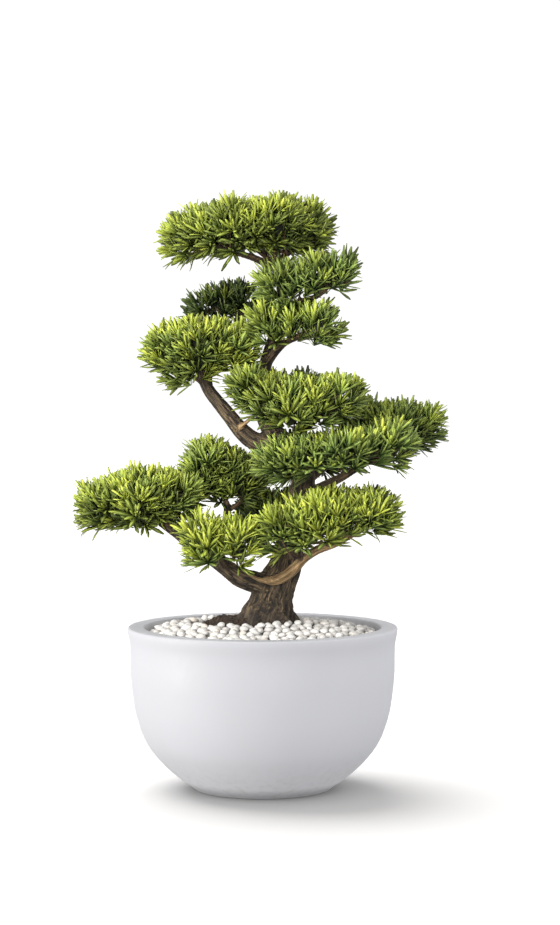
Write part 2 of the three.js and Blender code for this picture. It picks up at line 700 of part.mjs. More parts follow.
// The hub of a tuft, raised on its ring of points, with a bud on each of its faces. Outer leaves
// spread, the inner ones are steeper, and the young shoot stands in the middle.
function tuftBuds(tuft, base, axis, ring, points) {
  const side = new THREE.Vector3(0, 0, 1).cross(axis);
  if (side.length() < 0.1) side.set(1, 0, 0);
  side.normalize();
  const front = axis.clone().cross(side).normalize();
  const along = (angle, radius, height) => new THREE.Vector3()
    .addScaledVector(side, radius * Math.cos(angle))
    .addScaledVector(front, radius * Math.sin(angle))
    .addScaledVector(axis, height);
  const angleOf = (point) => {
    const offset = point.clone().sub(base);
    return Math.atan2(offset.dot(front), offset.dot(side));
  };
  const outer = ring.map((index) => ({ index, angle: angleOf(points[index]) }));
  const inner = [0, 1, 2].map((j) => {
    const angle = outer[0].angle + ((j + 0.25) * 2 * Math.PI) / 3;
    points.push(base.clone().add(along(angle, TUFT_HUB * 0.45, TUFT_HUB * 0.5)));
    return { index: points.length - 1, angle };
  });
  const innerIndexes = inner.map(({ index }) => index);
  return [...joinRings(outer, inner), innerIndexes].map((face, k) => {
    const root = new THREE.Vector3();
    for (const index of face) root.addScaledVector(points[index], 1 / 3);
    const high = face.filter((index) => innerIndexes.includes(index)).length;
    const lean = [0, k % 2 === 0 ? 1.05 : 0.74, 0.42, 0.08][high];
    const share = [0, 1, 0.8, 0.66][high];
    return { tuft, face, root, lean, share, heading: angleOf(root), along };
  });
}

// Raises a bud's face to a leaf that stays clear of everything, or leaves the bud closed
function growLeaf(pad, { tuft, face, root, lean, share, heading, along }, points, placed, random) {
  for (let attempt = 0; attempt < LEAF_TRIES; attempt += 1) {
    const loose = 0.1 + attempt * 0.04;
    const tilt = lean + between(random, -loose, loose);
    const turn = heading + between(random, -loose, loose);
    const shortened = attempt < FULL_LENGTH_TRIES ? 1 : 0.7;
    const length = LEAF_LENGTH * share * shortened * between(random, 0.88, 1.06);
    const direction = along(turn, Math.sin(tilt), Math.cos(tilt));
    const tip = root.clone().addScaledVector(direction, length);
    const leaf = { root, tip, width: TUFT_HUB * 0.42, pad, tuft };
    if (!leafIsClear(leaf)) continue;
    points.push(tip);
    const t = points.length - 1;
    const sides = [0, 1, 2].map((k) => boxedFace(points, [face[k], face[(k + 1) % 3], t]));
    const ownFace = (other) => other.indexes.every((index) => face.includes(index));
    if (placed.some((other) => !ownFace(other) && sides.some((one) => facesCross(points, one, other)))) {
      points.pop();
      continue;
    }
    leavesSoFar.push(leaf);
    return sides;
  }
  return [];
}

const surveyed = PADS.map(surveyPad);
surveyed.forEach((pad, index) => addNode(pad.name, growPad(pad, index), pad.color, 0.6));

export default bonsai;
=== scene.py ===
# %% [markdown]
# # A podocarpus bonsai in a white bowl planter
#
# The solids of this tree are already made at their real size: a pot, its soil, a bed of white pebbles, the
# wood and sixteen leaf pads. They are loaded here as a fixed frame. This lesson dresses them: each solid
# is hidden and a finer piece takes its place, with the same form. The solids give the sizes, so the
# lesson starts by measuring them.

# %% Load the frame
import itertools
import math
import random

import bmesh
import bpy
import numpy as np
from mathutils import Matrix, Vector, noise


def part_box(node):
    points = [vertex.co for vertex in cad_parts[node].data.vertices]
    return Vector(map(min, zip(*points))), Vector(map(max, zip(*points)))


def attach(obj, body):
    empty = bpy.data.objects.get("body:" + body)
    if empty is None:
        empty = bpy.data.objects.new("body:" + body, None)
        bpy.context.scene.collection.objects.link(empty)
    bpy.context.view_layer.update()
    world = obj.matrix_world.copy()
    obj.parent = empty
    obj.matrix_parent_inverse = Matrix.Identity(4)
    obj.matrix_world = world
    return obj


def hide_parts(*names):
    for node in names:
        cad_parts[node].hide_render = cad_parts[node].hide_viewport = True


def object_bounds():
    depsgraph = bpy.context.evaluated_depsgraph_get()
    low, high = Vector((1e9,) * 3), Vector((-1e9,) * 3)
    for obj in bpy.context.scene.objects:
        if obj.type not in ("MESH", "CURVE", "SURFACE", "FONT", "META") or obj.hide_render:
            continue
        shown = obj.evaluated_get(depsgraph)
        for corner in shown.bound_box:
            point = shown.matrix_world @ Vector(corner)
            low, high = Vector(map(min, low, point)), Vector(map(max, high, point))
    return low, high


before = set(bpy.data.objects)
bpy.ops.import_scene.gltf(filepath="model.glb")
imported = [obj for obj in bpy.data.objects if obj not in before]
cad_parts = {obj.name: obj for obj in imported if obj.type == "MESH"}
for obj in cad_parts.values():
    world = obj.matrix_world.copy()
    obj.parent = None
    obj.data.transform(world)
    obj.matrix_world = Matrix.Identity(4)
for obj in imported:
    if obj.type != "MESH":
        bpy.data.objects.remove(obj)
solid_low, solid_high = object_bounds()
MM = 0.001
print("solids:", len(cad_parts), "box", [round(v, 3) for v in (*solid_low, *solid_high)])

# %% [markdown]
# Real colours are known as screen values from 0 to 255. Blender works in linear light, so each screen
# value is turned into a linear one before a material uses it.

# %% Colours
bpy.context.scene.view_settings.view_transform = "Standard"


def linear(red, green, blue):
    """A linear colour from screen values of 0 to 255."""
    shares = [value / 255 for value in (red, green, blue)]
    curved = [s / 12.92 if s <= 0.04045 else ((s + 0.055) / 1.055) ** 2.4 for s in shares]
    return (*curved, 1.0)


print("a young leaf in linear light:", [round(v, 3) for v in linear(190, 200, 60)])

# %% [markdown]
# Materials and Geometry Nodes are both trees of nodes. Written out call by call they are long and hard to
# read, so a small class adds a node from its type, its settings and its inputs, and another wraps an
# output so that plain Python expressions, such as `1 - mask`, add the Math nodes.

# %% Node helper
class Value:
    """An output of a node. Python's operators on it add Math nodes."""

    def __init__(self, graph, socket):
        self.graph = graph
        self.socket = socket

    def math(self, operation, *others):
        return self.graph.add("ShaderNodeMath", {"operation": operation}, dict(enumerate((self, *others))))[0]

    def __add__(self, other):
        return self.math("ADD", other)

    def __sub__(self, other):
        return self.math("SUBTRACT", other)

    def __rsub__(self, other):
        return self.graph.number(other).math("SUBTRACT", self)

    def __mul__(self, other):
        return self.math("MULTIPLY", other)

    def __truediv__(self, other):
        return self.math("DIVIDE", other)

    def __pow__(self, other):
        return self.math("POWER", other)

    __radd__ = __add__
    __rmul__ = __mul__

    def ramp(self, low, high, to_low=0.0, to_high=1.0):
        """This value moved smoothly from the range low to high into another range."""
        names = ("Value", "From Min", "From Max", "To Min", "To Max")
        numbers = dict(zip(names, (self, low, high, to_low, to_high)))
        return self.graph.add("ShaderNodeMapRange", {"interpolation_type": "SMOOTHSTEP"}, numbers)["Result"]


class Made:
    """A node that was added. Its outputs are read by name or by number."""

    def __init__(self, graph, node):
        self.graph = graph
        self.node = node

    def __getitem__(self, key):
        return Value(self.graph, self.graph.pick(self.node.outputs, key))


class Graph:
    """Adds nodes to a node tree."""

    def __init__(self, tree):
        self.tree = tree

    def pick(self, sockets, key):
        if isinstance(key, int):
            return sockets[key]
        return next(s for s in sockets if s.name == key and s.enabled)

    def add(self, kind, settings=None, inputs=None):
        node = self.tree.nodes.new(kind)
        for name, setting in (settings or {}).items():
            setattr(node, name, setting)
        for key, value in (inputs or {}).items():
            self.feed(node, key, value)
        return Made(self, node)

    def feed(self, node, key, value):
        socket = self.pick(node.inputs, key)
        if isinstance(value, (list, tuple)) and any(isinstance(v, Value) for v in value):
            for one in value:
                self.tree.links.new(one.socket, socket)
        elif isinstance(value, Value):
            self.tree.links.new(value.socket, socket)
        else:
            socket.default_value = value

    def number(self, value):
        node = self.add("ShaderNodeValue")
        node.node.outputs[0].default_value = value
        return node[0]

    def vector(self, x, y, z):
        return self.add("ShaderNodeCombineXYZ", {}, {0: x, 1: y, 2: z})[0]

    def parts(self, vector):
        split = self.add("ShaderNodeSeparateXYZ", {}, {0: vector})
        return split[0], split[1], split[2]

    def vectors(self, operation, *values, **more):
        inputs = dict(enumerate(values))
        inputs.update(more)
        return self.add("ShaderNodeVectorMath", {"operation": operation}, inputs)

    def plus(self, first, second):
        return self.vectors("ADD", first, second)["Vector"]

    def minus(self, first, second):
        return self.vectors("SUBTRACT", first, second)["Vector"]

    def scaled(self, vector, factor):
        return self.vectors("SCALE", vector, Scale=factor)["Vector"]


def blend_colors(graph, share, first, second):
    """The first colour where the share is 0, the second where it is 1."""
    inputs = {"Factor": share, "A": first, "B": second}
    return graph.add("ShaderNodeMix", {"data_type": "RGBA"}, inputs)["Result"]


print("node helper ready")

# %% [markdown]
# The photo was taken from a little above the pot's rim with a long lens, so upright edges stay upright.
# The lens comes from the pot: its rim is 0.5 m wide and fills 271 of the picture's 560 pixels at a
# distance of about four and a half metres.

# %% Camera
PICTURE_WIDTH, PICTURE_HEIGHT = 560, 925
CAMERA_DISTANCE = 4.5
CAMERA_HEIGHT = 0.8
METRES_PER_PIXEL = 1.845 * MM
POT_AXIS_PIXEL = 262.6
HORIZON_PIXEL = 355.9
SENSOR = 36.0

focal_pixels = CAMERA_DISTANCE / METRES_PER_PIXEL
tilt = math.atan2(PICTURE_HEIGHT / 2 - HORIZON_PIXEL, focal_pixels)
pan = math.atan2(PICTURE_WIDTH / 2 - POT_AXIS_PIXEL, focal_pixels)
camera = bpy.data.objects.new("camera", bpy.data.cameras.new("camera"))
bpy.context.collection.objects.link(camera)
camera.data.sensor_width = SENSOR
camera.data.lens = focal_pixels / PICTURE_HEIGHT * SENSOR
turn = Matrix.Rotation(-pan, 4, "Z") @ Matrix.Rotation(math.pi / 2 - tilt, 4, "X")
camera.matrix_world = Matrix.Translation((0, -CAMERA_DISTANCE, CAMERA_HEIGHT)) @ turn
bpy.context.scene.camera = camera
print("lens", round(camera.data.lens, 1), "mm, tilted down", round(math.degrees(tilt), 2), "degrees")

# %% [markdown]
# The light is a bright tent: pale all round, darker from below, and stronger from the upper left. The
# world gives the tent. Two large, slightly warm lamps give the leaves and the bark their sunny side.
# They would burn out the white pot, so the pot has a weaker lamp of its own at its left. The floor has a
# wide sun of its own, because only the pot throws a shadow: soft, short and to the lower right. Light
# linking, further down, says which lamp falls on what.

# %% Tent and lamps
TENT_SHADE = (0.80, 0.81, 0.83, 1)
TENT_BRIGHT = (1.08, 1.08, 1.07, 1)
TENT_BELOW = (0.34, 0.335, 0.32, 1)
BRIGHT_SIDE = (-0.45, -0.50, 0.74)
WARM = (1.0, 0.985, 0.95)
SUN_FROM = (-0.32, 0.43, 0.84)
SUN_ENERGY = 3.8
SUN_WIDTH = math.radians(54)


def area_light(name, place, target, size, watts):
    """A round, soft, warm light at one place that looks at another."""
    light = bpy.data.lights.new(name, "AREA")
    light.shape = "DISK"
    light.size = size
    light.energy = watts
    light.color = WARM
    holder = bpy.data.objects.new(name, light)
    bpy.context.collection.objects.link(holder)
    aim = (Vector(target) - Vector(place)).to_track_quat("-Z", "Y")
    holder.matrix_world = Matrix.Translation(place) @ aim.to_matrix().to_4x4()
    return holder


world = bpy.data.worlds.new("studio")
bpy.context.scene.world = world
world.use_nodes = True
graph = Graph(world.node_tree)
direction = graph.add("ShaderNodeTexCoord")["Generated"]
facing = graph.vectors("DOT_PRODUCT", direction, BRIGHT_SIDE)["Value"]
tent = blend_colors(graph, facing.ramp(-0.9, 0.9), TENT_SHADE, TENT_BRIGHT)
tent = blend_colors(graph, graph.parts(direction)[2].ramp(-0.9, -0.1), TENT_BELOW, tent)
background = world.node_tree.nodes["Background"]
graph.feed(background, "Color", tent)
background.inputs["Strength"].default_value = 1.0
key_light = area_light("key", (-3.0, -2.2, 2.2), (0, 0, 0.55), size=1.5, watts=172)
front_light = area_light("front", (-1.0, -3.7, 1.0), (0, 0, 0.45), size=1.8, watts=124)
pot_light = area_light("pot_light", (-3.6, -1.1, 0.25), (0, 0, 0.15), size=1.2, watts=54)
floor_light = bpy.data.objects.new("floor_light", bpy.data.lights.new("floor_light", "SUN"))
bpy.context.collection.objects.link(floor_light)
floor_light.data.energy = SUN_ENERGY
floor_light.data.angle = SUN_WIDTH
floor_light.matrix_world = Vector(SUN_FROM).to_track_quat("Z", "Y").to_matrix().to_4x4()
print("tent and", len(bpy.data.lights), "lamps ready")

# %% [markdown]
# The floor and the backdrop are pure white in the photo. A white floor would also throw light up into the
# pads and under the pot, so the floor is a mid grey that its own sun lights up to white. The backdrop is
# a black dome that glows. Neither of them is seen by the light that bounces between surfaces.

# %% Floor and backdrop
FLOOR_RADIUS = 14.0
FLOOR_DROP = 0.0005
FLOOR_GREY = 0.6
DOME_FOOT = 0.01
DOME_GLOW = 1.05


def stage_piece(name, mesh, grey, glow):
    """A piece of the studio: a plain surface that may glow, and that gives the tree no light or shadow."""
    material = bpy.data.materials.new(name)
    material.use_nodes = True
    shader = material.node_tree.nodes["Principled BSDF"]
    shader.inputs["Base Color"].default_value = (grey, grey * 0.99, grey * 0.98, 1)
    shader.inputs["Roughness"].default_value = 1.0
    shader.inputs["Specular IOR Level"].default_value = 0.0
    shader.inputs["Emission Color"].default_value = (1, 1, 1, 1)
    shader.inputs["Emission Strength"].default_value = glow
    mesh.materials.append(material)
    holder = bpy.data.objects.new(name, mesh)
    bpy.context.collection.objects.link(holder)
    holder.visible_diffuse = False
    holder.visible_glossy = False
    holder.visible_shadow = False
    return holder


def link_light(light, objects, state, role="receiver_collection"):
    """Lets a light fall on these objects only (INCLUDE) or on all others (EXCLUDE), or be blocked by them."""
    group = bpy.data.collections.new(light.name + "_objects")
    for linked in objects:
        group.objects.link(linked)
    setattr(light.light_linking, role, group)
    for item in group.collection_objects:
        item.light_linking.link_state = state


floor_mesh = bpy.data.meshes.new("floor")
build = bmesh.new()
bmesh.ops.create_circle(build, cap_ends=True, segments=96, radius=FLOOR_RADIUS)
bmesh.ops.translate(build, vec=(0, 0, -FLOOR_DROP), verts=build.verts)
build.to_mesh(floor_mesh)
build.free()
dome_mesh = bpy.data.meshes.new("backdrop")
build = bmesh.new()
bmesh.ops.create_uvsphere(build, u_segments=64, v_segments=32, radius=FLOOR_RADIUS)
bmesh.ops.delete(build, geom=[v for v in build.verts if v.co.z < -DOME_FOOT], context="VERTS")
bmesh.ops.reverse_faces(build, faces=build.faces)
build.to_mesh(dome_mesh)
build.free()
floor = stage_piece("floor", floor_mesh, grey=FLOOR_GREY, glow=0.0)
stage_piece("backdrop", dome_mesh, grey=0.0, glow=DOME_GLOW)
print("floor and backdrop ready")

# %% [markdown]
# Each finish is a material with its own pattern. `new_material` starts one and hands over the shader and
# a `Graph`. Only what varies over the surface is linked. What is the same all over is set as a number.
# The same cell has the small mesh helpers that several pieces share.

# %% Material and mesh helpers
def new_material(name, **numbers):
    """A material, its node helper and its shader, with the shader's steady numbers set."""
    material = bpy.data.materials.new(name)
    material.use_nodes = True
    shader = material.node_tree.nodes["Principled BSDF"]
    for key, value in numbers.items():
        shader.inputs[key.replace("_", " ").title().replace("Ior", "IOR")].default_value = value
    return material, Graph(material.node_tree), shader


def noise_value(graph, scale, detail=4.0, roughness=0.5, vector=None, distortion=0.0):
    """Noise of 0 to 1 in the object's own space, or in the space of another vector."""
    inputs = {"Scale": scale, "Detail": detail, "Roughness": roughness, "Distortion": distortion}
    if vector is None:
        vector = graph.add("ShaderNodeTexCoord")["Object"]
    inputs["Vector"] = vector
    return graph.add("ShaderNodeTexNoise", {}, inputs)[0]


def bump(graph, shader, height, strength, distance):
    """Lets a height value tilt the light on the surface. The distance is in metres."""
    made = graph.add("ShaderNodeBump", {}, {"Height": height, "Strength": strength, "Distance": distance})
    graph.feed(shader, "Normal", made["Normal"])


def attribute(graph, name):
    return graph.add("ShaderNodeAttribute", {"attribute_name": name})["Fac"]


def new_object(name, mesh):
    made = bpy.data.objects.new(name, mesh)
    bpy.context.collection.objects.link(made)
    return made


def smooth(mesh):
    mesh.polygons.foreach_set("use_smooth", [True] * len(mesh.polygons))
    mesh.update()


def plain_mesh(holder):
    """The object's mesh with its modifiers worked in. The object itself is removed."""
    evaluated = holder.evaluated_get(bpy.context.evaluated_depsgraph_get())
    mesh = bpy.data.meshes.new_from_object(evaluated)
    bpy.data.objects.remove(holder)
    return mesh


def point_places(mesh):
    """The places of a mesh's points, as rows of x, y and z."""
    places = np.zeros(len(mesh.vertices) * 3, np.float32)
    mesh.vertices.foreach_get("co", places)
    return places.reshape(-1, 3)


def keep_values(mesh, name, values):
    """Stores a number or a vector for each point of a mesh, under a name that nodes can read."""
    values = np.asarray(values, np.float32)
    kind, field = ("FLOAT_VECTOR", "vector") if values.ndim == 2 else ("FLOAT", "value")
    mesh.attributes.new(name, kind, "POINT").data.foreach_set(field, values.ravel())


print("material and mesh helpers ready")

# %% [markdown]
# ## The pot
#
# The pot is one casting, turned round its axis: a small foot, a belly that swings up to an almost
# straight wall, a slight waist under the rim and a flat lip. A profile turned in many small steps is the
# plain way to make such a form. A curve through a few points keeps the belly smooth, and the corners of
# the lip are rounded by arcs.

# %% Pot outline
def through(points, steps):
    """Points on a smooth curve through the given points."""
    ends = [2 * points[0] - points[1], *points, 2 * points[-1] - points[-2]]
    curve = []
    for a, b, c, d in zip(ends, ends[1:], ends[2:], ends[3:]):
        for k in range(steps):
            t = k / steps
            bent = 2 * b + (c - a) * t + (2 * a - 5 * b + 4 * c - d) * t**2 + (3 * b - a - 3 * c + d) * t**3
            curve.append(bent / 2)
    return [*curve, points[-1]]


def arc(centre, radius, start, end, steps):
    """Points on an arc, with its angles in degrees."""
    angles = np.radians(np.linspace(start, end, steps + 1))
    return [np.array([centre[0] + radius * math.cos(a), centre[1] + radius * math.sin(a)]) for a in angles]


pot_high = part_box("pot")[1]
POT_RADIUS = pot_high.x / MM
POT_HEIGHT = pot_high.z / MM
LIP_WIDTH = 31
INNER_RADIUS = POT_RADIUS - LIP_WIDTH
FOOT_EDGE, FOOT_ROUND = 124, 6
LIP_ROUND, LIP_INNER_ROUND = 4, 3
POT_WALL = [(136, 8), (159, 24), (191, 54), (217, 90), (234.5, 140), (243.5, 205), (244.8, 262), (248.6, 288)]
POT_INSIDE = [(219, 262), (216, 190), (211, 130), (188, 66), (150, 24), (0, 24)]
outer_lip = (POT_RADIUS - LIP_ROUND - 0.2, POT_HEIGHT - LIP_ROUND)
inner_lip = (INNER_RADIUS + LIP_INNER_ROUND, POT_HEIGHT - LIP_INNER_ROUND)
outline = [np.array([radius, 0.0]) for radius in (0.0, FOOT_EDGE - 22, FOOT_EDGE)]
outline += arc((FOOT_EDGE, FOOT_ROUND), FOOT_ROUND, -90, -40, 4)
outline += through([np.array(p, float) for p in POT_WALL], 6)
outline += arc(outer_lip, LIP_ROUND, 10, 90, 6)
outline += arc(inner_lip, LIP_INNER_ROUND, 90, 180, 5)
outline += [np.array(p, float) for p in POT_INSIDE]
print("pot outline points:", len(outline), "radius", POT_RADIUS, "height", POT_HEIGHT)

# %% [markdown]
# A lathe repeats the profile at many angles round the axis and joins neighbours by faces. A profile point
# on the axis stays one point, so the body closes there. The normals are set last, to point outwards.

# %% Pot mesh
TURNS = 144


def lathe(name, profile, turns):
    """Turns a profile of (radius, height) points in millimetres round the Z axis into a closed mesh."""
    mesh = bpy.data.meshes.new(name)
    build = bmesh.new()
    rings = []
    for radius, height in profile:
        if radius < 1e-6:
            rings.append([build.verts.new((0, 0, height * MM))])
            continue
        angles = [2 * math.pi * k / turns for k in range(turns)]
        places = [(radius * math.cos(a) * MM, radius * math.sin(a) * MM, height * MM) for a in angles]
        rings.append([build.verts.new(place) for place in places])
    for lower, upper in zip(rings, rings[1:]):
        for k in range(turns):
            quad = [lower[k % len(lower)], lower[(k + 1) % len(lower)]]
            quad += [upper[(k + 1) % len(upper)], upper[k % len(upper)]]
            corners_left = list(dict.fromkeys(quad))
            if len(corners_left) > 2:
                build.faces.new(corners_left)
    bmesh.ops.recalc_face_normals(build, faces=build.faces)
    build.to_mesh(mesh)
    build.free()
    smooth(mesh)
    return mesh


pot_piece = new_object("pot_bowl", lathe("pot_bowl", outline, TURNS))
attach(pot_piece, "root")
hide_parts("pot")
print("pot faces:", len(pot_piece.data.polygons))

# %% [markdown]
# The pot is the last piece that the lamps have to know. The floor's sun falls on the floor alone, and the
# pot alone blocks it. The pot's lamp falls on the pot alone. The two lamps of the tree fall on all the rest.

# %% Light linking
link_light(floor_light, [floor], "INCLUDE")
link_light(floor_light, [pot_piece], "INCLUDE", "blocker_collection")
link_light(pot_light, [pot_piece], "INCLUDE")
link_light(key_light, [floor, pot_piece], "EXCLUDE")
link_light(front_light, [floor, pot_piece], "EXCLUDE")
print("lamps linked")

# %% [markdown]
# The pot's coat is a matt white with a faint lavender cast. Close up it has a fine orange-peel texture,
# a few broad clouds where the coat is thinner, a rougher, slightly dusty zone near the foot and on the
# lip, and a thin dark band of painted shade along the foot, where the pot stands on the floor.

# %% Pot finish
DUST_TO = 0.09
LIP_FROM, LIP_TO = 0.285, 0.3
FOOT_SHADE_TO = 0.024
pot_material, graph, shader = new_material("matt white pot", roughness=0.5)
clouds = noise_value(graph, 3.2, 3.0).ramp(0.35, 0.65)
specks = noise_value(graph, 70.0, 3.0, 0.6).ramp(0.40, 0.72)
height = graph.parts(graph.add("ShaderNodeTexCoord")["Object"])[2]
coat = blend_colors(graph, clouds, linear(215, 215, 220), linear(219, 219, 225))
dust = (height.ramp(0.0, DUST_TO, 1.0, 0.0) + height.ramp(LIP_FROM, LIP_TO, 0.0, 0.15)) * specks * 0.5
coat = blend_colors(graph, dust, coat, linear(196, 194, 192))
# Painted shade: the bottom of the pot darkens towards the floor it stands on.
coat = blend_colors(graph, height.ramp(0.0, FOOT_SHADE_TO, 0.75, 0.0), coat, linear(118, 118, 120))
graph.feed(shader, "Base Color", coat)
graph.feed(shader, "Roughness", 0.46 + specks * 0.12 + clouds * 0.05)
peel = noise_value(graph, 420.0, 2.0, 0.6) * 0.6 + noise_value(graph, 60.0, 2.0) * 0.8
bump(graph, shader, peel, 0.12, 0.0006)
pot_piece.data.materials.append(pot_material)
print("pot finish ready")

# %% [markdown]
# ## The soil
#
# The soil fills the pot and mounds up under the tree. Almost all of it is hidden by the pebbles, and it
# shows only round the foot of the trunk, as dark crumbs. A turned body gives the mound, its top is
# roughened, and Geometry Nodes scatter the crumbs where the pebbles leave it bare. The lists give a height
# for each distance from the top of the mound, in millimetres: one for the soil and one for the pebbles.

# %% Mound
MOUND = [(0, 317), (40, 316), (62, 300), (100, 284), (150, 272), (200, 262), (INNER_RADIUS - 0.4, 254)]
BED_TOP = [(0, 322), (45, 320), (70, 316), (100, 311), (150, 303), (200, 293), (INNER_RADIUS, 286)]
PATCH = {"x": -44, "y": -6, "radius_x": 92, "radius_y": 49}
TOP_LEFT, TOP_BACK, TOP_LENGTHENED = 32, 8, 0.6
TOP_LEVEL = 400
ROUGH_RADIUS = 0.215
CLOD_HEIGHT = 2.2
BARE_REACH, BARE_FROM = 1.12, 0.29


def height_on(levels, x, y):
    """The height of the soil or the bed in millimetres. Its top is long, and left of the pot's axis."""
    rim_share = min(1.0, math.hypot(x, y) / INNER_RADIUS)
    shift = 1 - rim_share**2
    across = (x + TOP_LEFT * shift) / (1 + TOP_LENGTHENED * shift)
    radius = math.hypot(across, y - TOP_BACK * shift)
    return float(np.interp(radius, *np.transpose(levels)))


def in_patch(x, y, grow=0.0):
    """Below 1 inside the bare patch round the trunk, above 1 outside it. The patch may be grown."""
    across = (x - PATCH["x"]) / (PATCH["radius_x"] + grow)
    deep = (y - PATCH["y"]) / (PATCH["radius_y"] + grow)
    return math.hypot(across, deep)


soil_side = [(0, 25), (149, 25), (210.4, 130), (INNER_RADIUS - 1.6, 256)]
mound_top = [(r, TOP_LEVEL) for r in np.linspace(INNER_RADIUS - 0.6, 0, 74)]
soil_mesh = lathe("soil_mound", [*soil_side, *mound_top], TURNS)
for vertex in soil_mesh.vertices:
    if vertex.co.z > (TOP_LEVEL - 1) * MM:
        vertex.co.z = height_on(MOUND, vertex.co.x / MM, vertex.co.y / MM) * MM
        if vertex.co.xy.length < ROUGH_RADIUS:
            vertex.co.z += noise.fractal(vertex.co * 55, 0.9, 2.0, 4) * CLOD_HEIGHT * MM
soil_mesh.update()
reach = [in_patch(v.co.x / MM, v.co.y / MM) for v in soil_mesh.vertices]
bare = [r < BARE_REACH and v.co.z > BARE_FROM for r, v in zip(reach, soil_mesh.vertices)]
keep_values(soil_mesh, "bare", bare)
print("mound faces:", len(soil_mesh.polygons), "bare points:", sum(bare))

# %% [markdown]
# What repeats is placed by Geometry Nodes. `NodeSet` starts such a tree with named inputs. `apply_nodes`
# sets the inputs by their identifiers, evaluates the object and keeps the result as a plain mesh.

# %% Geometry Nodes helper
class NodeSet(Graph):
    """A Geometry Nodes tree with named inputs."""

    KINDS = {float: "NodeSocketFloat", int: "NodeSocketInt"}

    def __init__(self, name, **inputs):
        super().__init__(bpy.data.node_groups.new(name, "GeometryNodeTree"))
        interface = self.tree.interface
        interface.new_socket("Geometry", in_out="INPUT", socket_type="NodeSocketGeometry")
        for key, start in inputs.items():
            kind = start if isinstance(start, str) else self.KINDS[type(start)]
            socket = interface.new_socket(key.replace("_", " "), in_out="INPUT", socket_type=kind)
            if not isinstance(start, str):
                socket.default_value = start
        interface.new_socket("Geometry", in_out="OUTPUT", socket_type="NodeSocketGeometry")
        self.inputs = self.add("NodeGroupInput")

    def __getitem__(self, key):
        return self.inputs[key]

    def random(self, low, high, seed, kind="FLOAT"):
        inputs = {"Min": low, "Max": high, "Seed": seed}
        return self.add("FunctionNodeRandomValue", {"data_type": kind}, inputs)["Value"]

    def here(self):
        return self.add("GeometryNodeInputPosition")["Position"]

    def store(self, geometry, name, value, domain="POINT", kind="FLOAT"):
        """Keeps a value on the geometry under a name, which `named` reads further on."""
        settings = {"data_type": kind, "domain": domain}
        inputs = {"Geometry": geometry, "Name": name, "Value": value}
        return self.add("GeometryNodeStoreNamedAttribute", settings, inputs)["Geometry"]

    def named(self, name, kind="FLOAT"):
        return self.add("GeometryNodeInputNamedAttribute", {"data_type": kind}, {"Name": name})["Attribute"]

    def move(self, geometry, position):
        inputs = {"Geometry": geometry, "Position": position}
        return self.add("GeometryNodeSetPosition", {}, inputs)["Geometry"]

    def join(self, *geometries):
        return self.add("GeometryNodeJoinGeometry", {}, {"Geometry": geometries})["Geometry"]

    def point_along(self, vector, **more):
        """A rotation that turns the Z axis along a vector."""
        inputs = {"Vector": vector, **more}
        return self.add("FunctionNodeAlignRotationToVector", {"axis": "Z"}, inputs)["Rotation"]

    def turned(self, rotation, x, y, z):
        """A rotation that is turned further, by angles about its own axes."""
        step = self.add("FunctionNodeEulerToRotation", {}, {0: self.vector(x, y, z)})[0]
        inputs = {"Rotation": rotation, "Rotate By": step}
        return self.add("FunctionNodeRotateRotation", {"rotation_space": "LOCAL"}, inputs)[0]

    def finish(self, geometry, material=None):
        """Ends the tree: real geometry, smooth, with its material."""
        real = self.add("GeometryNodeRealizeInstances", {}, {"Geometry": geometry})["Geometry"]
        if material is not None:
            real = self.paint(real, material)
        self.add("NodeGroupOutput", {}, {"Geometry": real})

    def paint(self, geometry, material):
        """Makes geometry smooth and gives it a material."""
        rounded = self.add("GeometryNodeSetShadeSmooth", {}, {"Geometry": geometry})["Geometry"]
        inputs = {"Geometry": rounded, "Material": material}
        return self.add("GeometryNodeSetMaterial", {}, inputs)["Geometry"]


def apply_nodes(name, mesh, graph, **inputs):
    """Runs a tree on a mesh and returns a new object with the result as a plain mesh."""
    holder = new_object(name + "_source", mesh)
    modifier = holder.modifiers.new("nodes", "NODES")
    modifier.node_group = graph.tree
    for item in graph.tree.interface.items_tree:
        key = item.name.replace(" ", "_")
        if item.in_out == "INPUT" and key in inputs:
            modifier[item.identifier] = inputs[key]
    result = plain_mesh(holder)
    result.name = name
    return new_object(name, result)


print("Geometry Nodes helper ready")

# %% [markdown]
# Potting mix is dark brown with paler bits in it. Its crumbs are 2 to 7 mm long and lie in any direction,
# so a ball of twenty faces, scaled by chance along each axis, is enough for one. The attribute `bare`
# thins them to nothing under the pebbles.

# %% Soil crumbs
soil_material, graph, shader = new_material("potting mix", roughness=0.95)
grains = noise_value(graph, 260.0, 5.0, 0.7)
patches = noise_value(graph, 38.0, 3.0)
earth = blend_colors(graph, grains.ramp(0.35, 0.7), linear(22, 16, 12), linear(64, 48, 36))
earth = blend_colors(graph, patches.ramp(0.5, 0.75) * 0.5, earth, linear(88, 68, 50))
graph.feed(shader, "Base Color", earth)
bump(graph, shader, grains, 0.7, 0.002)

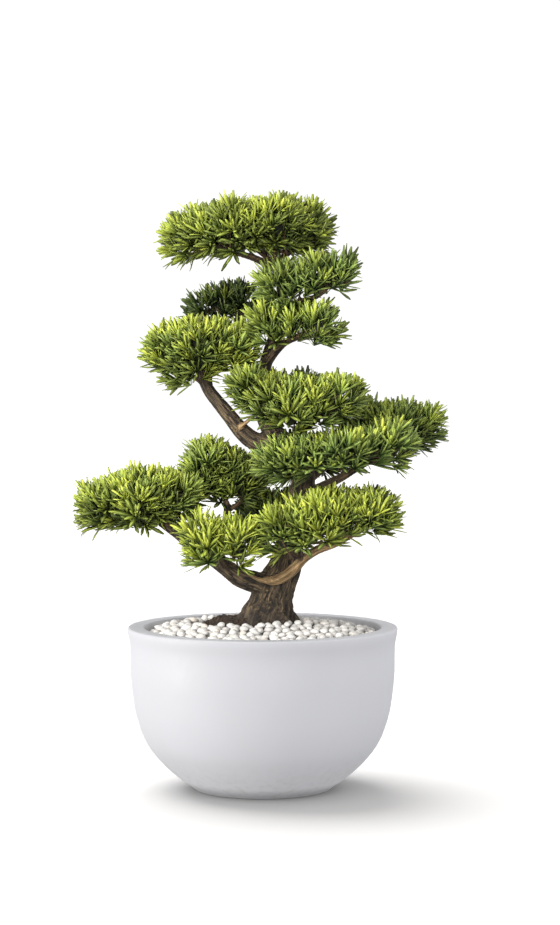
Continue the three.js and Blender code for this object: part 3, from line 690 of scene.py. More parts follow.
SMALL_CRUMB, LARGE_CRUMB = 0.9 * MM, 3.4 * MM
crumbs = NodeSet("Soil crumbs", Density=34000.0, Seed=4)
scattered = crumbs.add("GeometryNodeDistributePointsOnFaces", {}, {
    "Mesh": crumbs["Geometry"],
    "Density": crumbs["Density"] * crumbs.named("bare"),
    "Seed": crumbs["Seed"],
})
ball = crumbs.add("GeometryNodeMeshIcoSphere", {}, {"Radius": 1.0, "Subdivisions": 1})["Mesh"]
placed = crumbs.add("GeometryNodeInstanceOnPoints", {}, {
    "Points": scattered["Points"],
    "Instance": ball,
    "Rotation": crumbs.random((0, 0, 0), (6.3, 6.3, 6.3), 1, "FLOAT_VECTOR"),
    "Scale": crumbs.random((SMALL_CRUMB,) * 3, (LARGE_CRUMB,) * 3, 2, "FLOAT_VECTOR"),
})["Instances"]
crumbs.finish(crumbs.join(crumbs["Geometry"], placed), soil_material)
soil_piece = apply_nodes("soil_bed", soil_mesh, crumbs)
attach(soil_piece, "root")
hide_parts("soil")
print("soil faces with crumbs:", len(soil_piece.data.polygons))

# %% [markdown]
# ## The pebbles
#
# Several hundred tumbled stones, most of them about 20 mm long, lie two or three deep. Stones set on a grid
# look like tiles, and stones thrown at random hang in the air or sink into each other. So each stone is
# dropped: it rests on the soil or on the stones below it, and of a dozen random places it takes the one
# where it lies deepest below the top that the bed should have. A stone that finds no place below that top
# is left out.

# %% Drop the stones
draw = random.Random(11)
DROPS = 3000
TRIES = 12
STONE_RADII = {"low": 6.2, "high": 12.0, "mode": 8.6}
STONE_FLATNESS = 0.7
WALL_GAP = 1.0
RAGGED_EDGE = 7
SEAT_IN_SOIL = 0.6
NESTLE = 0.93
TREE_FOOT = {"x": 12, "y": 0, "radius": 47}
stones = np.zeros((DROPS, 4))
laid = 0
for _ in range(DROPS):
    radius = draw.triangular(**STONE_RADII)
    best, deepest = None, 0.0
    for _ in range(TRIES):
        out = (INNER_RADIUS - radius * 0.95 - WALL_GAP) * math.sqrt(draw.random())
        angle = draw.uniform(0, 2 * math.pi)
        x, y = out * math.cos(angle), out * math.sin(angle)
        ragged = RAGGED_EDGE * noise.noise(Vector((x, y, 0)) * 0.06)
        on_foot = math.hypot(x - TREE_FOOT["x"], y - TREE_FOOT["y"]) < TREE_FOOT["radius"]
        if in_patch(x, y, radius * 0.8 + ragged) < 1 or on_foot:
            continue
        rest = height_on(MOUND, x, y) + radius * STONE_FLATNESS * SEAT_IN_SOIL
        near = stones[:laid]
        gap = np.hypot(near[:, 0] - x, near[:, 1] - y)
        touch = (near[:, 3] + radius) * NESTLE
        over = gap < touch
        if over.any():
            lift = np.sqrt(touch[over] ** 2 - gap[over] ** 2) * STONE_FLATNESS
            rest = max(rest, float((near[over, 2] + lift).max()))
        depth = height_on(BED_TOP, x, y) - radius * STONE_FLATNESS - rest
        if depth > deepest:
            best, deepest = (x, y, rest, radius), depth
    if best is not None:
        stones[laid] = best
        laid += 1
stones = stones[:laid]
print("stones:", laid, "highest", round(float((stones[:, 2] + stones[:, 3]).max()), 1), "mm")

# %% [markdown]
# A tumbled stone is a rounded lump with a few soft flats. Four lumps, each from a ball of 80 faces pushed
# in and out by noise, are enough when every copy is turned and scaled in its own way.

# %% Stone shapes
def stone_shape(seed):
    """A rounded lump with a radius of about 1 and a few soft flats."""
    mesh = bpy.data.meshes.new(f"stone_{seed}")
    build = bmesh.new()
    bmesh.ops.create_icosphere(build, subdivisions=2, radius=1)
    for vertex in build.verts:
        lump = noise.noise(vertex.co * 1.1 + Vector((seed * 7.3, 0, 0)))
        dent = abs(noise.noise(vertex.co * 1.9 + Vector((0, seed * 5.1, 0))))
        vertex.co *= 1 + 0.2 * lump - 0.12 * dent
    build.to_mesh(mesh)
    build.free()
    return new_object(f"stone_{seed}", mesh)


stone_shapes = [stone_shape(seed) for seed in range(4)]
stone_points = bpy.data.meshes.new("stone_points")
stone_points.from_pydata([tuple(row[:3] * MM) for row in stones], [], [])
keep_values(stone_points, "stone_size", stones[:, 3] * MM)
print("stone shapes:", len(stone_shapes), "stone points:", len(stone_points.vertices))

# %% [markdown]
# The stones are a matt off-white. Each has its own tone, a few are warmer, and a fine vein or stain runs
# through some. The bed's tree of nodes picks one of the four lumps for each place, stretches it, leans it
# a little and turns it any way round.

# %% Pebble finish and bed
pebble_material, graph, shader = new_material("tumbled white stone", roughness=0.62)
tone = attribute(graph, "stone_tone")
veins = noise_value(graph, 75.0, 5.0, 0.6, distortion=0.6)
grain = noise_value(graph, 900.0, 3.0, 0.7)
stone_color = blend_colors(graph, tone.ramp(0.0, 1.0), linear(178, 175, 172), linear(199, 197, 194))
stone_color = blend_colors(graph, veins.ramp(0.56, 0.75) * 0.5, stone_color, linear(188, 174, 160))
stone_color = blend_colors(graph, tone.ramp(0.93, 1.0) * 0.5, stone_color, linear(176, 160, 144))
graph.feed(shader, "Base Color", stone_color)
graph.feed(shader, "Roughness", 0.5 + grain * 0.25)
bump(graph, shader, veins * 0.5 + grain * 0.3, 0.25, 0.0008)

pebbles = NodeSet("Pebbles", Seed=3)
shapes = []
for holder in stone_shapes:
    info = pebbles.add("GeometryNodeObjectInfo", {}, {"Object": holder})
    shapes.append(pebbles.add("GeometryNodeGeometryToInstance", {}, {"Geometry": info["Geometry"]})[0])
points = pebbles.add("GeometryNodeMeshToPoints", {}, {"Mesh": pebbles["Geometry"]})["Points"]
size = pebbles.named("stone_size")
stretch = pebbles.random((1.0, 0.9, 0.66), (1.3, 1.08, 0.84), 5, "FLOAT_VECTOR")
scale = pebbles.scaled(stretch, size)
lean = pebbles.random((-0.35, -0.35, 0), (0.35, 0.35, 6.3), 6, "FLOAT_VECTOR")
placed = pebbles.add("GeometryNodeInstanceOnPoints", {}, {
    "Points": points,
    "Instance": pebbles.join(*shapes),
    "Pick Instance": True,
    "Instance Index": pebbles.random(0, 3, 7, "INT"),
    "Rotation": lean,
    "Scale": scale,
})["Instances"]
placed = pebbles.store(placed, "stone_tone", pebbles.random(0.0, 1.0, 8), "INSTANCE")
pebbles.finish(placed, pebble_material)
pebble_piece = apply_nodes("pebble_bed", stone_points, pebbles)
for holder in stone_shapes:
    bpy.data.objects.remove(holder)
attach(pebble_piece, "root")
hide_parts("white_pebbles")
print("pebble faces:", len(pebble_piece.data.polygons))

# %% [markdown]
# ## The pads' places
#
# The branches have to reach every leaf pad, so the pads come first, as numbers. A pad's outline is a few
# lobes, as in the solid: the place of each lobe's middle and its three half sizes, in millimetres. A lobe
# or two is set a little off the solid's, where the leaves need it to fill the same outline. `raised` lifts
# the underside from which the leaves grow, or lowers it if it is negative. Youth and olive tint the
# leaves, as the sunny pads are younger or more olive. Shade is painted shade on the leaves of the rear pads.

# %% Pad lobes
PADS = {
    "pad_crown": {"raised": 4, "shade": 0.0, "youth": 0.54, "olive": 0.85, "lobes": [
        (-126, -10, 1026, 60, 85, 50), (-52, -45, 1038, 66, 80, 52), (28, -40, 1040, 66, 85, 56),
        (82, 0, 1040, 56, 80, 54), (-57, 60, 1038, 72, 72, 50), (42, 60, 1042, 72, 72, 52)]},
    "pad_upper_right": {"raised": -8, "shade": 0.0, "youth": 0.42, "olive": 0.35, "lobes": [
        (144, -60, 949, 40, 55, 40), (97, -68, 948, 49, 58, 42), (38, -58, 935, 56, 56, 45)]},
    "pad_upper_middle": {"raised": 4, "shade": 0.0, "youth": 0.45, "olive": 0.55, "lobes": [
        (14, -58, 858, 52, 58, 49), (100, -65, 855, 52, 62, 48)]},
    "pad_upper_left_rear": {"raised": 0, "shade": 0.66, "youth": 0.15, "olive": 0.3, "lobes": [
        (-103, 95, 888, 48, 60, 36), (-40, 100, 900, 57, 62, 44)]},
    "pad_left_middle": {"raised": 2, "shade": 0.0, "youth": 0.82, "olive": 0.6, "lobes": [
        (-176, -10, 812, 53, 75, 48), (-114, -45, 820, 60, 80, 57), (-51, -30, 818, 48, 72, 52),
        (-138, 0, 778, 55, 70, 37)]},
    "pad_left_middle_rear": {"raised": 4, "shade": 0.4, "youth": 0.2, "olive": 0.4, "lobes": [
        (-134, 92, 804, 54, 60, 38), (-76, 98, 807, 53, 60, 38)]},
    "pad_middle": {"raised": 1, "shade": 0.0, "youth": 0.52, "olive": 0.55, "lobes": [
        (-24, -84, 747, 51, 68, 39), (50, -86, 712, 64, 76, 59), (137, -75, 724, 58, 70, 44)]},
    "pad_middle_rear": {"raised": 6, "shade": 0.4, "youth": 0.2, "olive": 0.4, "lobes": [
        (0, 105, 732, 56, 65, 40), (80, 110, 728, 56, 65, 40)]},
    "pad_right_rear": {"raised": 8, "shade": 0.1, "youth": 0.42, "olive": 0.35, "lobes": [
        (192, 92, 677, 62, 63, 46), (274, 84, 672, 72, 74, 52)]},
    "pad_right": {"raised": 8, "shade": 0.0, "youth": 0.48, "olive": 0.3, "lobes": [
        (50, -80, 612, 70, 68, 47), (149, -84, 624, 62, 73, 52), (236, -60, 639, 57, 70, 53)]},
    "pad_right_low_rear": {"raised": 6, "shade": 0.4, "youth": 0.2, "olive": 0.35, "lobes": [
        (42, 120, 605, 60, 64, 37), (118, 120, 609, 60, 64, 38)]},
    "pad_lower_left": {"raised": 4, "shade": 0.0, "youth": 0.56, "olive": 0.7, "lobes": [
        (-292, -15, 527, 58, 78, 50), (-224, -40, 539, 66, 86, 60), (-155, -20, 546, 54, 78, 55),
        (-238, 46, 532, 73, 73, 52)]},
    "pad_lower_left_rear": {"raised": -4, "shade": 0.0, "youth": 0.45, "olive": 0.6, "lobes": [
        (-98, 42, 600, 61, 73, 52), (-46, 62, 573, 66, 76, 52), (-118, 26, 566, 40, 50, 40)]},
    "pad_lower_front": {"raised": 6, "shade": 0.0, "youth": 1.0, "olive": 0.6, "lobes": [
        (-100, -108, 466, 56, 68, 54), (-42, -112, 464, 50, 66, 55)]},
    "pad_lower_right": {"raised": 0, "shade": 0.0, "youth": 0.8, "olive": 0.65, "lobes": [
        (38, -102, 489, 54, 68, 55), (113, -93, 508, 60, 76, 57), (190, -85, 519, 67, 76, 46)]},
    "pad_lower_rear": {"raised": 4, "shade": 0.6, "youth": 0.2, "olive": 0.35, "lobes": [
        (-1, 100, 502, 60, 64, 38), (71, 110, 508, 60, 64, 38)]},
}
print("pads:", len(PADS), "lobes:", sum(len(pad["lobes"]) for pad in PADS.values()))

# %% [markdown]
# ## The wood
#
# Trunk, roots and branches grew as one body, so they are made as one mesh. Each limb is a swept tube with
# a fluted section along a list of points, in millimetres with the radius last. The tubes are fused by a
# voxel remesh, which also rounds the forks as bark does, and the bark's relief is pushed in afterwards.
# A limb whose name starts with pale has the smooth tan bark of the crossing limb and of the dry stub.

# %% Limbs
LIMBS = {
    "trunk": [(6, 0, 246, 50), (8, 0, 290, 52), (11, 0, 317, 48), (17, 0, 336, 42), (20, 0, 354, 38),
              (30, 0, 381, 35), (43, 0, 413, 30), (56, 2, 470, 26), (67, 4, 530, 24), (75, 6, 572, 23),
              (66, 8, 606, 22), (42, 8, 636, 20), (16, 8, 664, 19), (0, 10, 702, 15.5), (-3, 12, 745, 13.5),
              (9, 11, 800, 12), (27, 10, 850, 11.5), (37, 8, 900, 10.5), (31, 4, 950, 10),
              (22, 0, 985, 8.5), (21, 0, 1012, 5.5)],
    "root_left": [(-8, -4, 332, 22), (-30, -6, 319, 15), (-50, -10, 304, 9), (-66, -14, 290, 5)],
    "root_left_rear": [(-2, 10, 328, 22), (-26, 30, 312, 16), (-48, 48, 292, 9)],
    "root_left_front": [(2, -16, 326, 22), (-14, -36, 312, 15), (-24, -54, 292, 8)],
    "root_right_front": [(22, -14, 326, 20), (36, -34, 310, 14), (46, -50, 290, 7)],
    "root_right": [(28, 4, 326, 22), (50, 2, 313, 16), (72, 0, 290, 8)],
    "root_right_rear": [(16, 16, 326, 20), (30, 36, 310, 14), (38, 56, 288, 7)],
    "long_left": [(22, -4, 368, 26), (-8, -12, 382, 21), (-42, -18, 393, 17.5), (-66, -20, 410, 16),
                  (-106, -20, 438, 13.5), (-150, -18, 469, 11.5), (-178, -16, 489, 10), (-206, -12, 507, 8.5),
                  (-242, -12, 524, 6), (-282, -14, 532, 3.5)],
    "long_left_rear": [(-188, -14, 494, 6), (-212, 22, 508, 5), (-240, 52, 524, 3)],
    "low_front": [(-68, -20, 412, 10), (-76, -58, 432, 8), (-84, -98, 452, 5)],
    "inner_left": [(-92, -20, 428, 8.5), (-76, 0, 472, 7.5), (-66, 22, 515, 7), (-76, 34, 548, 5),
                   (-86, 38, 574, 3.5)],
    "inner_left_fork": [(-67, 20, 512, 5.5), (-45, 38, 526, 4.5), (-30, 52, 548, 3.2)],
    "pale_right": [(2, -36, 391, 6), (14, -41, 388, 8), (32, -44, 392, 10), (50, -47, 403, 10.5),
                   (64, -51, 417, 10), (76, -57, 430, 9), (99, -64, 446, 8.5), (131, -74, 459, 7.5),
                   (160, -84, 474, 5.5), (196, -88, 492, 3.5)],
    "pale_left": [(24, -41, 389, 6.5), (8, -43, 388, 5.5), (-6, -46, 390.5, 4.6), (-19, -51, 397, 4),
                  (-30, -58, 406, 3.6), (-38, -66, 417, 3.2), (-46, -84, 438, 2.8)],
    "low_rear": [(46, 14, 424, 10), (40, 56, 458, 8), (34, 94, 490, 5)],
    "right_front": [(72, -4, 566, 10), (64, -44, 592, 8), (58, -78, 610, 5)],
    "right_long": [(68, 0, 538, 11), (104, -22, 557, 9.5), (139, -42, 575, 8.5), (166, -54, 592, 7.5),
                   (196, -62, 610, 6), (232, -64, 628, 4)],
    "right_rear": [(72, 10, 562, 10), (114, 44, 592, 8.5), (162, 74, 630, 7.5), (212, 90, 660, 6),
                   (258, 88, 668, 4)],
    "right_low_rear": [(72, 14, 580, 8), (76, 66, 594, 6.5), (82, 108, 604, 4)],
    "upper_left": [(26, 4, 634, 20), (-12, -2, 642, 18), (-38, -6, 662, 16), (-62, -10, 691, 14),
                   (-85, -12, 719, 12.5), (-99, -12, 737, 11), (-109, -16, 755, 9), (-114, -24, 782, 6.5),
                   (-112, -32, 804, 4)],
    "upper_left_out": [(-106, -14, 750, 6), (-130, -8, 763, 5), (-160, -8, 782, 3.5)],
    "upper_left_in": [(-104, -14, 748, 6), (-88, -22, 776, 5), (-62, -30, 802, 3.5)],
    "upper_left_rear": [(-98, -8, 738, 7.5), (-100, 36, 766, 6), (-104, 78, 798, 4)],
    "pale_stub": [(-46, -17, 666, 4.8), (-28, -30, 680, 4.2), (-8, -46, 697, 3.4), (10, -66, 708, 2.6)],
    "pale_fork": [(-14, -42, 692, 3), (2, -52, 691, 2.5), (16, -62, 687, 2.2)],
    "middle_right": [(24, 0, 652, 9), (56, -28, 655, 7.5), (88, -58, 676, 6.5), (118, -74, 704, 4)],
    "middle_left": [(0, 4, 692, 8), (-12, -36, 712, 6.5), (-22, -74, 728, 4)],
    "middle_rear": [(0, 14, 704, 8), (18, 56, 716, 6.5), (40, 98, 728, 4)],
    "upper_middle": [(8, 8, 788, 10), (24, -10, 808, 8.5), (44, -32, 826, 7), (74, -54, 838, 5.5),
                     (100, -62, 848, 3.5)],
    "upper_rear": [(24, 12, 838, 7.5), (-8, 46, 862, 6), (-52, 84, 886, 4.5), (-88, 96, 890, 3)],
    "upper_right": [(36, 4, 882, 7.5), (62, -26, 896, 6.5), (97, -50, 908, 5.5), (119, -60, 926, 4.5),
                    (124, -62, 944, 3.2)],
    "crown_left": [(26, 0, 960, 8.5), (-14, -14, 979, 7), (-52, -26, 990, 5.8), (-92, -28, 1006, 4.5),
                   (-122, -18, 1020, 3)],
    "crown_right": [(23, 0, 974, 6.5), (52, -16, 990, 5), (84, -8, 1014, 3.2)],
    "crown_rear": [(24, 2, 970, 6.5), (-8, 38, 994, 5), (-44, 58, 1018, 3.2)],
}
print("limbs:", len(LIMBS))

# %% [markdown]
# A tube has more sides the thicker it is, two shallow waves round it that wind along the limb, and a
# pointed tip at each end. From the nearest limb, three thin arms reach into each lobe of a pad.

# %% Sweep the limbs
RING_STEP = 3.0
LEAST_SIDES, MOST_SIDES = 10, 44
FLUTE = 0.06
ARMS = 3
ARM_THICK = 3.6


def sweep_line(path):
    """Even steps along a limb: places, tangents, side vectors, radii and the length so far."""
    dense = np.array(through([np.array(p, float) for p in path], 24))
    length = np.concatenate([[0], np.cumsum(np.linalg.norm(np.diff(dense[:, :3], axis=0), axis=1))])
    steps = max(4, round(length[-1] / RING_STEP))
    along = np.linspace(0, length[-1], steps + 1)
    line = np.stack([np.interp(along, length, dense[:, k]) for k in range(4)], axis=1)
    places, radii = line[:, :3], line[:, 3]
    tangents = np.gradient(places, axis=0)
    tangents /= np.linalg.norm(tangents, axis=1)[:, None]
    side = np.cross(tangents[0], [0.31, 0.95, 0.05])
    sides = []
    for tangent in tangents:
        side = side - tangent * (side @ tangent)
        side /= np.linalg.norm(side)
        sides.append(side)
    return places, tangents, np.array(sides), radii, along


def tube(build, path):
    """Adds one closed limb to the mesh that is being built, and returns the line it follows."""
    places, tangents, sides, radii, along = sweep_line(path)
    uprights = np.cross(tangents, sides)
    count = int(min(MOST_SIDES, max(LEAST_SIDES, radii.max() * 2)))
    rings = []
    for place, side, upright, radius, s in zip(places, sides, uprights, radii, along / along[-1]):
        ring = []
        for k in range(count):
            angle = 2 * math.pi * k / count
            wave = math.sin(3 * angle + 5 * s) + 0.7 * math.sin(2 * angle - 7 * s + 1)
            out = radius * (1 + FLUTE * wave)
            point = place + out * (math.cos(angle) * side + math.sin(angle) * upright)
            ring.append(build.verts.new(point * MM))
        rings.append(ring)
    for lower, upper in zip(rings, rings[1:]):
        for k in range(count):
            build.faces.new((lower[k], lower[(k + 1) % count], upper[(k + 1) % count], upper[k]))
    ends = ((rings[0], places[0], -tangents[0], radii[0]), (rings[-1], places[-1], tangents[-1], radii[-1]))
    for ring, place, outward, radius in ends:
        tip = build.verts.new((place + outward * radius * 0.5) * MM)
        for k in range(count):
            build.faces.new((ring[k], ring[(k + 1) % count], tip))
    return places, tangents, sides, radii, along


def arms_for(lobe, limb_points):
    """Thin branches from the nearest limb out into a lobe. The lobe's own x turns them round it."""
    x, y, z, half_x, half_y, half_z = lobe
    hub = limb_points[np.argmin(np.linalg.norm(limb_points - [x, y, z - 0.8 * half_z], axis=1))]
    arms = []
    for k in range(ARMS):
        angle = x + 2 * math.pi * k / ARMS
        tip_x, tip_y = x + 0.6 * half_x * math.cos(angle), y + 0.6 * half_y * math.sin(angle)
        tip = np.array([tip_x, tip_y, z - 0.2 * half_z])
        knee = hub + (tip - hub) * 0.55 - [0, 0, 0.14 * np.linalg.norm(tip - hub)]
        arms.append([(*hub, ARM_THICK), (*knee, 0.75 * ARM_THICK), (*tip, 0.5 * ARM_THICK)])
    return arms


wood_build = bmesh.new()
lines = {name: tube(wood_build, path) for name, path in LIMBS.items()}
limb_points = np.concatenate([places for places, *_ in lines.values()])
for pad_name, pad in PADS.items():
    for number, lobe in enumerate(pad["lobes"]):
        for k, arm in enumerate(arms_for(lobe, limb_points)):
            lines[f"{pad_name}_{number}_{k}"] = tube(wood_build, arm)
bmesh.ops.recalc_face_normals(wood_build, faces=wood_build.faces)
wood_mesh = bpy.data.meshes.new("wood_tubes")
wood_build.to_mesh(wood_mesh)
wood_build.free()
print("tubes:", len(lines), "faces", len(wood_mesh.polygons))

# %% [markdown]
# The voxel remesh works like clay pressed together: whatever overlaps becomes one skin. Its voxel is
# smaller than the thinnest arm. Three passes of smoothing take its steps away.

# %% Fuse the limbs
WOOD_VOXEL = 2.7 * MM
rough_wood = new_object("wood_tubes", wood_mesh)
remesh = rough_wood.modifiers.new("fuse", "REMESH")
remesh.mode = "VOXEL"
remesh.voxel_size = WOOD_VOXEL
relax = rough_wood.modifiers.new("relax", "SMOOTH")
relax.factor = 0.5
relax.iterations = 3
fused = plain_mesh(rough_wood)
fused.name = "wood"
print("fused wood faces:", len(fused.polygons))

# %% [markdown]
# Bark follows its limb: the plates and cracks are drawn out along it and wrap round it. Noise in plain
# space would run straight through the wood. So each point of the bark finds the limb whose surface it lies
# on and gets a place in that limb's own space: across, across the other way, and along, with the length
# pressed together. Noise in that space comes out stretched along the limb, in mesh and colour. Each limb's
# space is set far from the others', so that no two limbs have the same pattern. Thin limbs get less relief.

# %% Bark relief
PRESSED = 0.09
BETWEEN_LIMBS = 200
DEEPEST_BARK = 3.0
bark_places = point_places(fused) / np.float32(MM)
bark_count = len(bark_places)
miss = np.full(bark_count, 1e9)
flow = np.zeros((bark_count, 3))
girth_here = np.zeros(bark_count)
pale_here = np.zeros(bark_count)
for number, (name, (places, tangents, sides, radii, along)) in enumerate(lines.items()):
    margin = radii.max() * 1.5 + 8
    nearby = ((bark_places > places.min(0) - margin) & (bark_places < places.max(0) + margin)).all(1)
    rows = np.flatnonzero(nearby)
    spots = bark_places[rows]
    squares = (spots**2).sum(1)[:, None] + (places**2).sum(1)[None] - 2 * spots @ places.T
    distances = np.sqrt(np.maximum(squares, 0))
    step = np.argmin(distances - radii[None], axis=1)
    off = np.abs(distances[np.arange(len(rows)), step] - radii[step])
    closer = off < miss[rows]
    rows, step = rows[closer], step[closer]
    miss[rows] = off[closer]
    offset = bark_places[rows] - places[step]
    upright = np.cross(tangents[step], sides[step])
    flow[rows, 0] = (offset * sides[step]).sum(1)
    flow[rows, 1] = (offset * upright).sum(1)
    flow[rows, 2] = (along[step] + (offset * tangents[step]).sum(1)) * PRESSED + BETWEEN_LIMBS * number
    girth_here[rows] = radii[step]
    pale_here[rows] = float(name.startswith("pale"))

relief = np.zeros(bark_count)
for k, spot in enumerate(flow):
    place = Vector(spot)
    plates = noise.noise(place * 0.12)
    cracks = abs(noise.noise(place * 0.22 + Vector((9, 3, 1))))
    relief[k] = 0.9 * plates - 1.1 * max(0.0, 0.2 - cracks) / 0.2
depth = np.minimum(DEEPEST_BARK, 0.09 * girth_here) * (1 - 0.7 * pale_here)
normals = np.zeros(bark_count * 3, np.float32)
fused.vertex_normals.foreach_get("vector", normals)
bark_places += normals.reshape(-1, 3) * (relief * depth)[:, None]
fused.vertices.foreach_set("co", (bark_places * MM).astype(np.float32).ravel())
keep_values(fused, "bark_flow", flow)
keep_values(fused, "bark_relief", relief)
keep_values(fused, "bark_pale", pale_here)
keep_values(fused, "bark_girth", girth_here)
smooth(fused)
relief_range = [round(float(value), 2) for value in (relief.min(), relief.max())]
print("bark points:", bark_count, "relief from and to", relief_range)

# %% [markdown]
# The bark is grey-brown and weathered: pale on the raised plates, dark in the cracks, where the dark is
# partly its own colour and partly painted shade, redder on thin young wood, and tan on the pale limbs.
# Near the soil it darkens with painted shade, most at its left.

# %% Bark finish
bark_material, graph, shader = new_material("fissured bark", roughness=0.88)
flow_vector = graph.add("ShaderNodeAttribute", {"attribute_name": "bark_flow"})["Vector"]
raised = attribute(graph, "bark_relief")
pale = attribute(graph, "bark_pale")
girth = attribute(graph, "bark_girth")
streaks = noise_value(graph, 0.26, 5.0, 0.68, flow_vector, 0.3)
fibres = noise_value(graph, 0.8, 4.0, 0.7, flow_vector)
stains = noise_value(graph, 16.0, 3.0, 0.5)
across_x, _, height = graph.parts(graph.add("ShaderNodeTexCoord")["Object"])
plate = blend_colors(graph, streaks.ramp(0.38, 0.62), linear(52, 42, 29), linear(120, 101, 75))
plate = blend_colors(graph, fibres.ramp(0.52, 0.75) * 0.5, plate, linear(148, 130, 102))
plate = blend_colors(graph, stains.ramp(0.45, 0.7) * 0.55, plate, linear(48, 40, 29))
young = girth.ramp(4.0, 10.0, 1.0, 0.0)
plate = blend_colors(graph, young * 0.55, plate, linear(120, 88, 62))
tan = blend_colors(graph, streaks.ramp(0.38, 0.62), linear(104, 78, 48), linear(174, 146, 104))
plate = blend_colors(graph, pale, plate, tan)
gap = (noise_value(graph, 0.17, 2.0, 0.6, flow_vector) - 0.5).math("ABSOLUTE").ramp(0.0, 0.08, 1.0, 0.0)
# The cracks are darkened partly for their own colour and partly as painted shade in the bark's hollows.
crack_and_shade = raised.ramp(-0.8, 0.0, 1.0, 0.0).math("MAXIMUM", gap * 0.8) * (1 - pale * 0.6)
plate = blend_colors(graph, crack_and_shade * 0.95, plate, linear(20, 15, 11))
# Painted shade near the soil, darkest on the trunk's left.
base_shade = height.ramp(0.316, 0.345, 1.0, 0.0) * across_x.ramp(-0.05, -0.015, 0.95, 0.5)
plate = blend_colors(graph, base_shade, plate, linear(38, 30, 24))
graph.feed(shader, "Base Color", plate)
bump(graph, shader, streaks * 0.8 + fibres * 0.5 - crack_and_shade * 0.6, 0.8, 0.0018)
fused.materials.append(bark_material)
wood_piece = new_object("bark_and_branches", fused)
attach(wood_piece, "root")
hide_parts("trunk_and_branches")
print("wood piece ready")

# %% [markdown]
# ## The leaf pads
#
# A clipped podocarpus pad is a crowd of short shoots. Each shoot ends in a rosette of strap leaves: old,
# dark, wide-spread ones outside, young, short, yellow-green ones standing in the middle. A leaf is a
# satin green with a paler tip and a pale rib, which its own attributes draw: the place along and across
# it, its age, its tone, its luck with the light and the painted shade it gets deep in the pad, low on it
# or on a rear pad.

# %% Leaf finish
leaf_material, graph, shader = new_material("podocarpus leaf", roughness=0.42, specular_ior_level=0.3)
along = attribute(graph, "leaf_along")
across = attribute(graph, "leaf_across")
youth = attribute(graph, "leaf_youth")
tone = attribute(graph, "leaf_tone")
luck = attribute(graph, "leaf_luck")
mottle = noise_value(graph, 240.0, 3.0, 0.6)
old = blend_colors(graph, tone, linear(86, 112, 64), linear(102, 116, 48))
middle = blend_colors(graph, tone, linear(122, 154, 84), linear(158, 170, 64))
fresh = blend_colors(graph, luck, linear(168, 184, 60), linear(194, 200, 82))
green = blend_colors(graph, youth.ramp(0.0, 0.5), old, middle)
green = blend_colors(graph, youth.ramp(0.45, 1.0), green, fresh)
tip_light = along.ramp(0.15, 1.0) * 0.28
green = blend_colors(graph, tip_light, green, linear(196, 206, 88))
rib = across.math("ABSOLUTE").ramp(0.0, 0.22, 1.0, 0.0) * along.ramp(0.75, 1.0, 1.0, 0.0)
green = blend_colors(graph, rib * 0.45, green, linear(188, 200, 104))
green = blend_colors(graph, (1 - luck) * 0.38, green, linear(56, 78, 32))
green = blend_colors(graph, mottle.ramp(0.5, 0.8) * 0.25, green, linear(70, 100, 40))
# Painted shade: leaves deep in the pad, low on it or on a rear pad are darkened.
green = blend_colors(graph, attribute(graph, "leaf_deep"), green, linear(34, 46, 20))
graph.feed(shader, "Base Color", green)
graph.feed(shader, "Roughness", 0.36 + mottle * 0.18)
bump(graph, shader, rib * 0.6 + mottle * 0.2, 0.3, 0.0004)

twig_material, graph, shader = new_material("young twig", roughness=0.85)
twig_noise = noise_value(graph, 180.0, 4.0, 0.6)
graph.feed(shader, "Base Color", blend_colors(graph, twig_noise, linear(66, 48, 34), linear(128, 98, 70)))
bump(graph, shader, twig_noise, 0.5, 0.0006)

shade_material, graph, shader = new_material("shaded inner leaves", roughness=0.9)
inner = noise_value(graph, 130.0, 4.0, 0.7)
shaded = blend_colors(graph, inner.ramp(0.4, 0.7), linear(20, 26, 12), linear(56, 62, 30))
graph.feed(shader, "Base Color", shaded)
bump(graph, shader, inner, 0.9, 0.004)
print("leaf finishes ready")

# %% [markdown]
# The shoots stand on a ground that lies about a leaf's length inside the pad's lobes, so that the leaves
# end where the lobes do. The lobes are drawn in, fused by a voxel remesh with a bridge between each two
# neighbours, and made a little lumpy. A second body, drawn in further, is the pad's heart. It carries a
# few more leaves, for the eye that looks in between the outer ones.

# %% Ground for the shoots
BRIDGE = np.array([1, 1, 1, 0.96, 0.96, 0.96])
CLOSE_ENOUGH = 0.9
GROUND_VOXEL = 0.005
GROUND = {"side": 29, "up": 34, "down": 0, "least": 13, "lumps": 12}
HEART = {"side": 38, "up": 43, "down": 15, "least": 9, "lumps": 7}


